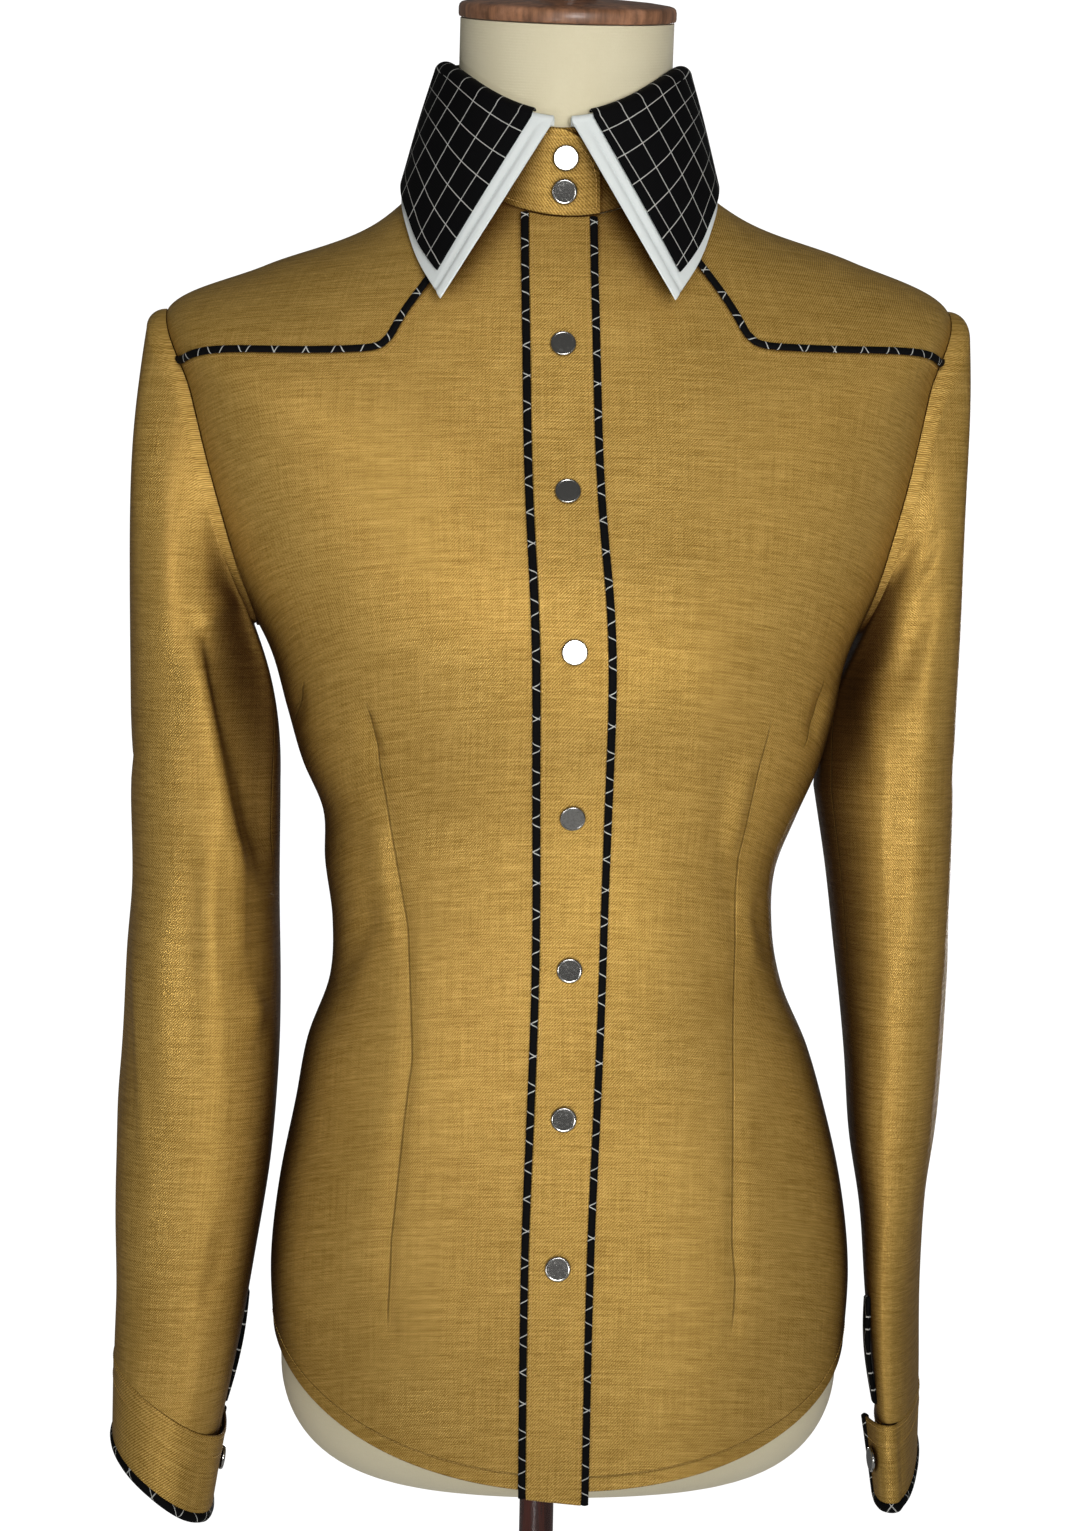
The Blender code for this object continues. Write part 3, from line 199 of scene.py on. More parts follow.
Sleeve = namedtuple("Sleeve", "z out y across deep tilt nod yaw")
SLEEVE_RIGHT = (
    Sleeve(1.1000, 0.1755, 0.002, 0.0377, 0.060, 0, 0, 0),
    Sleeve(1.0430, 0.1740, 0.003, 0.0375, 0.056, 2, 0, 0),
    Sleeve(1.0020, 0.1744, 0.003, 0.0390, 0.053, 4, 0, 0),
    Sleeve(0.9580, 0.1754, 0.001, 0.0396, 0.051, 7, 2, 0),
    Sleeve(0.9180, 0.1777, -0.001, 0.0395, 0.049, 11, 3, 0),
    Sleeve(0.8700, 0.1820, -0.004, 0.0369, 0.046, 18, 5, 0),
    Sleeve(0.8280, 0.1855, -0.007, 0.0350, 0.042, 27, 7, 0),
    Sleeve(0.7905, 0.1900, -0.010, 0.0332, 0.038, 35, 9, 0),
    Sleeve(0.7510, 0.1933, -0.012, 0.0304, 0.036, 38, 11, 0),
)
SLEEVE_LEFT = (
    Sleeve(1.1000, 0.1713, 0.004, 0.0345, 0.062, 0, 0, 0),
    Sleeve(1.0590, 0.1751, 0.005, 0.0310, 0.060, 0, 0, 2),
    Sleeve(1.0120, 0.1778, 0.005, 0.0281, 0.058, 0, 1, 4),
    Sleeve(0.9610, 0.1798, 0.004, 0.0245, 0.056, 0, 1, 7),
    Sleeve(0.9230, 0.1803, 0.003, 0.0215, 0.054, 0, 1, 9),
    Sleeve(0.8870, 0.1817, 0.002, 0.0167, 0.052, 0, 1, 11),
    Sleeve(0.8460, 0.1826, 0.001, 0.0135, 0.049, 0, 2, 14),
    Sleeve(0.7850, 0.1864, 0.000, 0.0100, 0.047, 0, 6, 15),
    Sleeve(0.7500, 0.1876, -0.001, 0.0090, 0.046, 0, 13, 13),
)
HANDS = {"right": (-1, SLEEVE_RIGHT), "left": (1, SLEEVE_LEFT)}

Edge = namedtuple("Edge", "share x y z")
COLLAR_EDGE = (
    Edge(0.00, 0.0000, 0.0880, 1.4080),
    Edge(0.30, 0.0545, 0.0640, 1.4050),
    Edge(0.58, 0.0768, 0.0050, 1.4014),
    Edge(0.67, 0.0774, -0.0248, 1.3925),
    Edge(0.71, 0.0767, -0.0366, 1.3868),
    Edge(0.80, 0.0710, -0.0570, 1.3672),
    Edge(1.00, 0.0560, -0.0880, 1.3390),
)

# ---- soft folds, in millimetres: depth is + for a ridge and - for a hollow ----
# seen: the side that the fold is on. left and right: its widths each side of a path that runs down.
# ease: the share of its path over which each end fades. path: (x, z), or (y, z) on an outer side.
Crease = namedtuple("Crease", "seen depth left right ease path")
DART_RUNS = {
    "right": ((-89, 1110), (-80, 1064), (-74, 1033), (-72, 994), (-71, 968), (-75, 934), (-80, 880)),
    "left": ((96, 1108), (90, 1068), (90, 1028), (88, 972), (88, 882), (90, 862)),
}
DARTS = {
    "right": ((-96, 1142), *DART_RUNS["right"], (-81, 838)),
    "left": ((101, 1137), *DART_RUNS["left"], (89, 838)),
}
BUST_DARTS = {
    "right": ((-126, 1152), (-129, 1141), (-131, 1133), (-133, 1122)),
    "left": ((130, 1158), (129, 1146), (127, 1138), (121, 1124)),
}
BACK_DARTS = (
    ((-74, 1150), (-70, 1060), (-72, 1000), (-76, 930), (-78, 870)),
    ((77, 1146), (72, 1060), (74, 1004), (79, 936), (80, 880)),
)
TORSO_FOLDS = (
    Crease("front", -0.8, 5.0, 3.2, 0.08, ((-95, 1137), *DART_RUNS["right"], (-81, 842))),
    Crease("front", 1.7, 7.0, 4.0, 0.30, ((-89, 1095), (-86, 1062), (-82, 1040), (-79, 1012))),
    Crease("front", -1.8, 7.0, 6.0, 0.30, ((-89, 1046), (-98, 1021), (-110, 996))),
    Crease("front", -2.2, 5.0, 2.6, 0.30, ((-98, 1144), (-94, 1130), (-89, 1112))),
    Crease("front", -2.4, 4.0, 3.5, 0.35, ((-127, 1150), (-129, 1141), (-131, 1133), (-132, 1124))),
    Crease("front", -0.8, 4.0, 4.0, 0.40, ((-80, 848), (-80, 838), (-78, 828))),
    Crease("front", -0.8, 3.2, 5.0, 0.08, ((101, 1133), *DART_RUNS["left"], (89, 842))),
    Crease("front", -1.5, 7.0, 5.0, 0.28, ((80, 1132), (79, 1084), (87, 1047), (89, 1018))),
    Crease("front", 1.2, 5.0, 5.0, 0.30, ((91, 1122), (87, 1090), (86, 1070))),
    Crease("front", 1.3, 5.0, 5.0, 0.30, ((95, 1056), (96, 1038), (102, 1014))),
    Crease("front", -1.3, 5.0, 6.0, 0.30, ((94, 1048), (105, 1027), (115, 1006))),
    Crease("front", -2.4, 4.0, 4.0, 0.35, ((130, 1156), (129, 1146), (127, 1138), (122, 1126))),
    Crease("front", -0.7, 4.0, 4.0, 0.40, ((89, 850), (89, 840), (87, 830))),
    Crease("front", 0.7, 16.0, 18.0, 0.40, ((-20, 1140), (-44, 1116), (-60, 1086))),
    Crease("front", -0.6, 16.0, 16.0, 0.40, ((30, 1150), (52, 1120), (60, 1080))),
    Crease("front", 0.6, 12.0, 12.0, 0.40, ((-100, 960), (-60, 950), (-26, 956))),
    Crease("front", 0.7, 14.0, 12.0, 0.40, ((28, 968), (64, 958), (108, 968))),
    Crease("back", -0.9, 4.0, 4.0, 0.08, BACK_DARTS[0]),
    Crease("back", -0.9, 4.0, 4.0, 0.08, BACK_DARTS[1]),
    Crease("back", -1.5, 9.0, 8.0, 0.35, ((-60, 1037), (0, 1024), (55, 1038))),
    Crease("back", -1.1, 8.0, 9.0, 0.35, ((-48, 1006), (4, 996), (62, 1010))),
    Crease("back", 1.0, 9.0, 8.0, 0.35, ((-52, 1058), (-4, 1050), (46, 1060))),
    Crease("back", 1.5, 15.0, 13.0, 0.35, ((-120, 1222), (-95, 1160), (-85, 1110))),
    Crease("back", 1.2, 13.0, 14.0, 0.35, ((118, 1230), (98, 1166), (88, 1120))),
    Crease("back", -0.9, 10.0, 10.0, 0.40, ((-30, 1230), (4, 1204), (44, 1222))),
    Crease("back", 0.8, 12.0, 12.0, 0.40, ((-104, 940), (-96, 900), (-92, 860))),
)
SLEEVE_FOLDS = {
    "right": (
        Crease("front", 4.0, 12.0, 4.0, 0.22, (
            (-182, 1180), (-176, 1154), (-170, 1132), (-165, 1115), (-160, 1098), (-153, 1068), (-150, 1040),
        )),
        Crease("front", -7.5, 3.5, 20.0, 0.25, (
            (-176, 1184), (-170, 1153), (-165, 1127), (-159, 1097), (-153, 1070), (-150, 1046),
        )),
        Crease("front", 3.0, 6.0, 6.0, 0.35, ((-181, 1176), (-171, 1186), (-159, 1194))),
        Crease("front", 1.8, 6.0, 6.0, 0.30, ((-171, 1093), (-172, 1044), (-171, 1014), (-166, 990))),
        Crease("front", -2.2, 8.0, 7.0, 0.30, ((-179, 1076), (-182, 1019), (-181, 985), (-177, 940))),
        Crease("front", 1.6, 5.0, 4.0, 0.30, ((-159, 1080), (-156, 1034), (-157, 1002))),
        Crease("front", 1.2, 9.0, 9.0, 0.30, ((-197, 1050), (-197, 995), (-196, 940))),
        Crease("front", 1.0, 2.2, 4.0, 0.20, ((-211, 1025), (-207, 977), (-204, 940), (-202, 900))),
        Crease("front", 2.0, 6.0, 4.0, 0.35, ((-153, 1004), (-147, 987), (-150, 968))),
        Crease("front", -1.4, 6.0, 6.0, 0.30, ((-162, 884), (-165, 856), (-174, 832))),
        Crease("front", 1.2, 8.0, 8.0, 0.30, ((-196, 1240), (-195, 1190), (-197, 1140))),
        Crease("back", -3.0, 7.0, 7.0, 0.30, ((-196, 1096), (-172, 1078), (-150, 1084))),
        Crease("back", -2.2, 7.0, 6.0, 0.30, ((-198, 1050), (-176, 1040), (-152, 1052))),
        Crease("back", 2.4, 8.0, 8.0, 0.30, ((-196, 1074), (-174, 1060), (-154, 1068))),
        Crease("back", 1.6, 9.0, 9.0, 0.30, ((-176, 1005), (-182, 930), (-188, 860))),
        Crease("back", -2.0, 8.0, 8.0, 0.30, ((-176, 1190), (-170, 1150), (-160, 1120))),
        Crease("outer", -1.8, 8.0, 9.0, 0.30, ((-24, 1130), (2, 1104), (30, 1098))),
        Crease("outer", 1.5, 10.0, 10.0, 0.30, ((10, 1060), (6, 980), (2, 900))),
    ),
    "left": (
        Crease("front", -1.6, 5.0, 5.0, 0.30, ((194, 1236), (185, 1221), (178, 1206))),
        Crease("front", -3.2, 8.0, 8.0, 0.30, ((193, 1216), (182, 1187), (172, 1165), (166, 1142))),
        Crease("front", -2.2, 5.0, 6.0, 0.30, ((177, 1234), (170, 1217), (165, 1202))),
        Crease("front", 1.4, 8.0, 8.0, 0.30, ((186, 1180), (184, 1119), (182, 1070), (180, 1010))),
        Crease("front", 1.8, 6.0, 6.0, 0.30, ((158, 1172), (156, 1138), (160, 1105))),
        Crease("front", -1.2, 6.0, 6.0, 0.30, ((172, 1118), (169, 1070), (168, 1015))),
        Crease("front", 0.8, 4.0, 4.0, 0.30, ((168, 1124), (180, 1122), (194, 1124))),
        Crease("back", -3.0, 7.0, 7.0, 0.30, ((196, 1104), (174, 1086), (152, 1094))),
        Crease("back", 2.2, 8.0, 8.0, 0.30, ((196, 1080), (176, 1066), (154, 1076))),
        Crease("back", -2.0, 6.0, 7.0, 0.30, ((196, 1056), (178, 1046), (158, 1058))),
        Crease("back", 1.4, 9.0, 9.0, 0.30, ((176, 1010), (180, 930), (184, 860))),
        Crease("outer", -1.8, 9.0, 8.0, 0.30, ((-30, 1120), (0, 1098), (34, 1106))),
        Crease("outer", 1.4, 10.0, 10.0, 0.30, ((-8, 1050), (-4, 970), (0, 890))),
        Crease("outer", -1.2, 9.0, 9.0, 0.30, ((20, 1010), (22, 930), (20, 860))),
    ),
}
# Where the under side of a sleeve falls back behind its front: degrees round its middle and half its
# width, the shares of the way down where it starts, is deepest and ends, and its depth in millimetres.
Hollow = namedtuple("Hollow", "middle half start deepest end depth")
UNDER_HOLLOWS = {
    "right": (Hollow(140, 46, -0.02, 0.16, 0.80, 17.0), Hollow(215, 40, 0.10, 0.35, 0.85, 5.0)),
    "left": (Hollow(143, 42, 0.03, 0.22, 0.75, 13.0), Hollow(215, 40, 0.10, 0.35, 0.85, 5.0)),
}
SLEEVE_SEAM = {"right": (180, 156), "left": (180, 148)}  # degrees round: at the armhole and down the arm


# ---- sizes and colours a user would change ----
COLOUR = {"subtype": "COLOR", "size": 3, "min": 0, "max": 1}
LENGTH = {"unit": "LENGTH", "subtype": "DISTANCE", "precision": 4}
POWER = {"unit": "POWER", "min": 0, "max": 1000}


class ClothSettings(PropertyGroup):
    """Cloth of the shirt's body, sleeves, cuffs and stand"""

    colour: FloatVectorProperty(
        name="Twill",
        description="Colour of the worsted twill",
        default=(0.425, 0.260, 0.060),
        **COLOUR,
    )
    thickness: FloatProperty(
        name="Thickness",
        description="Thickness of one layer of cloth",
        default=0.0012,
        min=0.0004,
        max=0.0018,
        **LENGTH,
    )
    folds: FloatProperty(
        name="Folds",
        description="How deep the soft folds are, as a share of their full depth",
        subtype="FACTOR",
        default=1.0,
        min=0.0,
        max=1.5,
    )
    stitch: FloatProperty(
        name="Stitch",
        description="Length from one stitch to the next",
        default=0.0024,
        min=0.0015,
        max=0.005,
        **LENGTH,
    )


class TrimSettings(PropertyGroup):
    """Piping, collar leaves and snaps"""

    ground: FloatVectorProperty(
        name="Windowpane ground",
        description="Ground colour of the checked trim",
        default=(0.0018, 0.0018, 0.0021),
        **COLOUR,
    )
    line: FloatVectorProperty(
        name="Windowpane line",
        description="Colour of the thin lines on the trim",
        default=(0.62, 0.62, 0.58),
        **COLOUR,
    )
    pane: FloatProperty(
        name="Pane",
        description="Distance between two lines one way",
        default=0.0100,
        min=0.003,
        max=0.05,
        **LENGTH,
    )
    pane_long: FloatProperty(
        name="Pane the other way",
        description="Distance between two lines the other way",
        default=0.0120,
        min=0.003,
        max=0.05,
        **LENGTH,
    )
    white: FloatVectorProperty(
        name="Under leaf",
        description="Colour of the collar's cotton under leaf",
        default=(0.80, 0.83, 0.80),
        **COLOUR,
    )
    metal: FloatVectorProperty(
        name="Snaps",
        description="Colour of the snaps' metal",
        default=(0.40, 0.39, 0.365),
        **COLOUR,
    )


class FormSettings(PropertyGroup):
    """Dress form and stand"""

    jersey: FloatVectorProperty(
        name="Jersey",
        description="Colour of the form's jersey cover",
        default=(0.80, 0.73, 0.52),
        **COLOUR,
    )
    cap: FloatVectorProperty(
        name="Neck cap",
        description="Colour of the worn wooden neck cap",
        default=(0.26, 0.12, 0.06),
        **COLOUR,
    )
    stand: FloatVectorProperty(
        name="Stand",
        description="Colour of the polished stand",
        default=(0.055, 0.014, 0.009),
        **COLOUR,
    )


class StudioSettings(PropertyGroup):
    """Lights, floor and background"""

    key: FloatProperty(
        name="Key light",
        description="Power of the wide soft light before the chest",
        default=2.05,
        **POWER,
    )
    low: FloatProperty(
        name="Low light",
        description="Power of the soft light from low down, like light off a pale floor",
        default=0.44,
        **POWER,
    )
    top: FloatProperty(
        name="Top light",
        description="Power of the small soft light on the neck and shoulders",
        default=1.03,
        **POWER,
    )
    fill: FloatProperty(
        name="Fill light",
        description="Power of the soft light at the wearer's left",
        default=2.5,
        **POWER,
    )
    back: FloatProperty(
        name="Back light",
        description="Power of the wide soft light behind the waist",
        default=12.0,
        **POWER,
    )
    room: FloatProperty(
        name="Room light",
        description="Strength of the even light from all round",
        default=0.12,
        min=0,
        max=5,
    )


# ---- small helpers ----
def smooth(table, key, name, at):
    """One column of a table, read at any place as a smooth curve through its rows."""
    keys = np.array([getattr(row, key) for row in table], float)
    values = np.array([getattr(row, name) for row in table], float)
    if keys[0] > keys[-1]:
        keys, values = keys[::-1], values[::-1]
    slopes = np.gradient(values, keys)
    at = np.clip(at, keys[0], keys[-1])
    index = np.clip(np.searchsorted(keys, at) - 1, 0, len(keys) - 2)
    width = keys[index + 1] - keys[index]
    s = (at - keys[index]) / width
    rise = (values[index + 1] - values[index]) * s * s * (3 - 2 * s)
    return values[index] + rise + width * s * (1 - s) * ((1 - s) * slopes[index] - s * slopes[index + 1])


def unit(vectors):
    return vectors / np.maximum(np.linalg.norm(vectors, axis=-1, keepdims=True), 1e-12)


def power(value, exponent):
    return np.sign(value) * np.abs(value) ** exponent


def stack(*values):
    return np.stack(np.broadcast_arrays(*values), -1)


def line(start, end, count):
    return np.linspace(start, end, count)


def ease(low, high, at):
    """0 below low, 1 above high, and smooth between."""
    share = np.clip((at - low) / (high - low), 0, 1)
    return share * share * (3 - 2 * share)


def normal(surface, first, second, step=1e-4):
    """The outward direction of a surface of two parameters."""
    one = surface(first + step, second) - surface(first - step, second)
    two = surface(first, second + step) - surface(first, second - step)
    return unit(np.cross(one, two))


def lifted(surface, first, second, lift):
    """Points of a surface, moved out by lift."""
    return surface(first, second) + normal(surface, first, second) * lift


def gone_along(points):
    """How far along a polyline each of its points lies."""
    return np.concatenate([[0], np.cumsum(np.linalg.norm(np.diff(points, axis=0), axis=1))])


def read_at(at, gone, values):
    """Values that belong to distances along a line, read at other distances."""
    return np.stack([np.interp(at, gone, column) for column in values.T], -1)


def resampled(points, count, values=None):
    """A polyline, or values given at its points, at this many places evenly spaced along it."""
    gone = gone_along(points)
    return read_at(line(0, gone[-1], count), gone, points if values is None else values)


def quads(grid):
    """The four corners of each cell of a grid, in turn round it."""
    corners = np.stack([grid[:-1, :-1], grid[:-1, 1:], grid[1:, 1:], grid[1:, :-1]], 2)
    return corners.reshape(-1, *corners.shape[2:])


def closed(grid):
    """A grid with its first column again at its end."""
    return np.hstack([grid, grid[:, :1]])


def coons(bottom, top, left, right):
    """Fills four edges, each a row of (turn, along) pairs."""
    s = np.linspace(0, 1, len(bottom))[None, :, None]
    r = np.linspace(0, 1, len(left))[:, None, None]
    corners = [(bottom[0] + left[0]) / 2, (bottom[-1] + right[0]) / 2]
    corners += [(top[0] + left[-1]) / 2, (top[-1] + right[-1]) / 2]

    def pinned(edge, start, end):
        share = np.linspace(0, 1, len(edge))[:, None]
        return edge + (1 - share) * (start - edge[0]) + share * (end - edge[-1])

    bottom, top = pinned(bottom, corners[0], corners[1]), pinned(top, corners[2], corners[3])
    left, right = pinned(left, corners[0], corners[2]), pinned(right, corners[1], corners[3])
    flat = (1 - r) * ((1 - s) * corners[0] + s * corners[1]) + r * ((1 - s) * corners[2] + s * corners[3])
    return (1 - r) * bottom[None] + r * top[None] + (1 - s) * left[:, None] + s * right[:, None] - flat


def chart(pairs, about, exponent):
    """Widens turns above the shoulder's end with the body there (exponent 1), or narrows them back (-1)."""
    along = np.maximum(pairs[..., 1], WIDEST_ALONG)
    scale = (smooth(BODY, "along", "half", along) / smooth(BODY, "along", "half", WIDEST_ALONG)) ** exponent
    return stack(about + (pairs[..., 0] - about) * scale, pairs[..., 1])


def fill(bottom, top, left, right, about=0.0):
    """A grid of (turn, along) pairs between four edges, evenly spread over the shoulder too."""
    edges = [chart(edge, about, 1) for edge in (bottom, top, left, right)]
    return chart(coons(*edges), about, -1)


def from_path(places, path):
    """Signed distance of places from a path, its ends drawn on, and the share of the path gone."""
    path = np.array(path, float) / 1000
    runs = np.diff(path, axis=0)
    lengths, gone = np.linalg.norm(runs, axis=1), gone_along(path)
    best = np.full(places.shape[:-1], np.inf)
    signed, share = np.zeros_like(best), np.zeros_like(best)
    for number, (start, run, length) in enumerate(zip(path, runs, lengths)):
        t = ((places - start) @ run) / length**2
        t = np.clip(t, -np.inf if number == 0 else 0, np.inf if number == len(runs) - 1 else 1)
        off = places - start - t[..., None] * run
        far = np.linalg.norm(off, axis=-1)
        side = np.where(run[0] * off[..., 1] - run[1] * off[..., 0] < 0, -1, 1)
        nearer = far < best
        best = np.where(nearer, far, best)
        signed = np.where(nearer, far * side, signed)
        share = np.where(nearer, (gone[number] + t * length) / gone[-1], share)
    return signed, share


WAVES = np.random.default_rng(11).uniform(-1, 1, (7, 4))


def rumple(points, length):
    """A slow unevenness over all cloth, from -1 to 1, its waves about this long."""
    total = 0
    for wave in WAVES:
        longer = length * (1 + 0.4 * wave[3])
        total = total + np.cos(points @ unit(wave[:3]) * 2 * np.pi / longer + 9 * wave[3])
    return total / len(WAVES)


def creased(points, out, table, side=0.0):
    """How far the table's folds move these points along their outward direction, in metres."""
    moved = np.zeros(points.shape[:-1])
    for fold in table:
        if fold.seen == "outer":
            places, facing = points[..., 1:], out[..., 0] * side
        else:
            places, facing = points[..., [0, 2]], out[..., 1] * (1 if fold.seen == "back" else -1)
        signed, share = from_path(places, fold.path)
        width = np.where(signed < 0, fold.left, fold.right) / 1000
        swell = np.exp(-((signed / width) ** 2)) * ease(0, fold.ease, share) * ease(0, fold.ease, 1 - share)
        moved += fold.depth / 1000 * swell * ease(0.0, 0.45, facing)
    return moved * bpy.context.scene.shirt_cloth.folds


# ---- the shared forms ----
def body(turn, along):
    """The torso's outer cloth face."""
    ring = {name: smooth(BODY, "along", name, along) for name in Ring._fields[1:]}
    s, c = np.sin(turn), np.cos(turn)
    ahead = c > 0
    x = ring["shift"] + ring["half"] * s * (1 + SQUARE * c * c)
    y = np.where(ahead, -ring["front"], -ring["back"]) * c * (1 + SQUARE * s * s)
    z = ring["z_side"] * s * s + np.where(ahead, ring["z_front"], ring["z_back"]) * c * c
    return stack(x, y, z + ring["lean"] * x)


def turn_at(x, along):
    share = (x - smooth(BODY, "along", "shift", along)) / smooth(BODY, "along", "half", along)
    s = share
    for _ in range(12):
        s = share / (1 + SQUARE * (1 - s * s))
    return np.arcsin(s)


def front_at(x, z):
    """Turn and along of the front's point with this x and z."""
    x, along = np.broadcast_arrays(np.asarray(x, float), np.asarray(z, float))
    for _ in range(30):
        turn = turn_at(x, along)
        along = np.clip(along + 0.8 * (z - body(turn, along)[..., 2]), 0.72, NECK_ALONG)
    return turn_at(x, along), along


def worn(turn, along, lift=0.0):
    """The torso's cloth with its folds, moved out by lift."""
    base, out = body(turn, along), normal(body, turn, along)
    moved = creased(base, out, TORSO_FOLDS) + 0.00035 * rumple(base, 0.085)
    calm = ease(1.30, 1.24, along)
    return base + out * (moved * calm + lift)[..., None]


def armhole(place, grow=0.0):
    """(turn, along) at a place round the left armhole, 0 at its top and pi under the arm."""
    bend = 2 / ARMHOLE_ROUND
    along = ARMHOLE_MIDDLE + (ARMHOLE_RISE + grow) * power(np.cos(place), bend)
    return stack(np.pi / 2 - (ARMHOLE_REACH + grow * 9) * power(np.sin(place), bend), along)


def hem(turn):
    return HEM_SIDE - HEM_DROP * np.abs(np.cos(turn)) ** HEM_POWER


def band(name, z):
    return smooth(PLACKET, "z", name, z)


def mirrored(pairs, side):
    return pairs * np.array([side, 1.0])


def sleeve_ring(side, table, place, z):
    row = {name: smooth(table, "z", name, z) for name in Sleeve._fields[1:]}
    tilt, nod, yaw = (np.radians(row[name]) for name in ("tilt", "nod", "yaw"))
    out = row["across"] * np.cos(place) * (1 + SQUARE * np.sin(place) ** 2)
    ahead = row["deep"] * np.sin(place) * (1 + SQUARE * np.cos(place) ** 2)
    x = side * (row["out"] + out * np.cos(tilt) * np.cos(yaw) - ahead * np.sin(yaw))
    y = row["y"] - ahead * np.cos(nod) * np.cos(yaw) - out * np.sin(yaw)
    return stack(x, y, z + out * np.sin(tilt) - ahead * np.sin(nod))


def sleeve(side, table):
    """surface(place, down): 0 is the armhole seam, 1 the cuff seam, 1 to 2 the cuff."""
    top, cuff, end = table[0].z, table[-2].z, table[-1].z

    def surface(place, down):
        place, down = np.broadcast_arrays(np.asarray(place, float), np.asarray(down, float))
        hole = armhole(place, -0.0008)
        turn, along = hole[..., 0] * side, hole[..., 1]
        start = lifted(body, turn, along, SEAM)
        share = (0.14 + 0.86 * np.cos(place / 2) ** 2)[..., None]
        bend = np.clip(down / HEAD, 0, 1)[..., None] * np.pi / 2
        outward = np.array([side, 0.0, 0.0]) * HEAD_OUT * share
        drop = np.array([0.0, 0.0, -HEAD_DOWN]) * share
        head = start + outward * np.sin(bend) + drop * (1 - np.cos(bend))
        low = sleeve_ring(side, table, place, np.full_like(place, top))
        t = np.clip((down - HEAD) / (UPPER - HEAD), 0, 1)[..., None]
        chord = np.linalg.norm(low - head, axis=-1, keepdims=True)
        fall = np.array([0.0, 0.0, -1.0]) * chord
        rise = (low - head) * t * t * (3 - 2 * t)
        outer, inner = UPPER_SWELL[side]
        full = outer * np.cos(place / 2) ** 2 - inner * np.sin(place / 2) ** 4
        hump = 6.75 * t * (1 - t) ** 2  # its peak is 1
        swell = np.array([side, 0.0, 0.0]) * full[..., None] * hump
        upper = head + rise + fall * t * (1 - t) * ((1 - t) - t) + swell
        z = np.where(
            down <= 1,
            top + (cuff - top) * np.clip((down - UPPER) / (1 - UPPER), 0, 1),
            cuff + (end - cuff) * np.clip(down - 1, 0, 1),
        )
        return np.where((down < UPPER)[..., None], upper, sleeve_ring(side, table, place, z))

    return surface


def sleeve_out(side, surface, place, down):
    """The outward direction of a sleeve's surface."""
    step = 2e-3
    one = surface(place + step, down) - surface(place - step, down)
    two = surface(place, down + step) - surface(place, np.maximum(down - step, 0))
    return unit(np.cross(one, two) * side)


def neck_point(turn, z):
    """A point of the ring at the collar stand's top, at this height."""
    turn = turn + NECK_TURN
    return stack(NECK_SHIFT + STAND_RADIUS * np.sin(turn), -STAND_BACK - STAND_RADIUS * np.cos(turn), z)


def height_round(turn, side, front, back):
    """A height round the neck, from those at its side, front and back."""
    s, c = np.sin(turn), np.cos(turn)
    return side * s * s + np.where(c > 0, front, back) * c * c


def stand(turn, share):
    """The collar stand, from the neck seam (0) to its top (1)."""
    low = body(turn + NECK_TURN, np.full_like(turn, NECK_ALONG)) + np.array([0.0, 0.0, 1.6 * SEAM])
    high = neck_point(turn, height_round(turn, **STAND_TOP))
    share = np.asarray(share)[..., None]
    return low + (high - low) * share


def collar_edge(v):
    """The leaves' outer edge: v is 0 at the back, -1 and 1 at the right and left point."""
    share, side = np.abs(v), np.sign(v)
    x, y, z = (smooth(COLLAR_EDGE, "share", name, share) for name in "xyz")
    x = x * side
    z = z + COLLAR_LEAN * x
    turned = NECK_SHIFT + x * np.cos(NECK_TURN) + y * -np.sin(NECK_TURN)
    return stack(turned, y * np.cos(NECK_TURN) + x * np.sin(NECK_TURN), z)


def collar(v, w):
    """The leaf's face: w 0 is at the stand's top, FOLD the fold's outer side, 1 the outer edge."""
    v, w = np.broadcast_arrays(np.asarray(v, float), np.asarray(w, float))
    turn = (np.pi - np.abs(v) * (np.pi - WHITE_START)) * np.where(v < 0, -1, 1)
    crest = height_round(turn, **FOLD_CREST)
    foot = neck_point(turn, height_round(turn, **STAND_TOP) + SEAM)
    out = stack(np.sin(turn + NECK_TURN), -np.cos(turn + NECK_TURN), 0 * turn)
    up = np.array([0.0, 0.0, 1.0])
    rise = (crest - foot[..., 2] - ROLL)[..., None]
    bend = np.clip(w / FOLD, 0, 1)[..., None]
    arc = np.clip((bend - FOLD_WALL) / (1 - FOLD_WALL), 0, 1) * np.pi
    wall = foot + up * rise * np.clip(bend / FOLD_WALL, 0, 1)
    fold = wall + out * ROLL * (1 - np.cos(arc)) + up * ROLL * np.sin(arc)
    t = np.clip((w - FOLD) / (1 - FOLD), 0, 1)[..., None]
    edge = collar_edge(v)
    swell = np.sin(np.pi * t) * LEAF_SWELL
    return np.where((w < FOLD)[..., None], fold, fold + (edge - fold) * t + out * swell)


# ---- meshes ----
def linked(name, data):
    """A new object in the scene."""
    made = bpy.data.objects.new(name, data)
    bpy.context.scene.collection.objects.link(made)
    return made


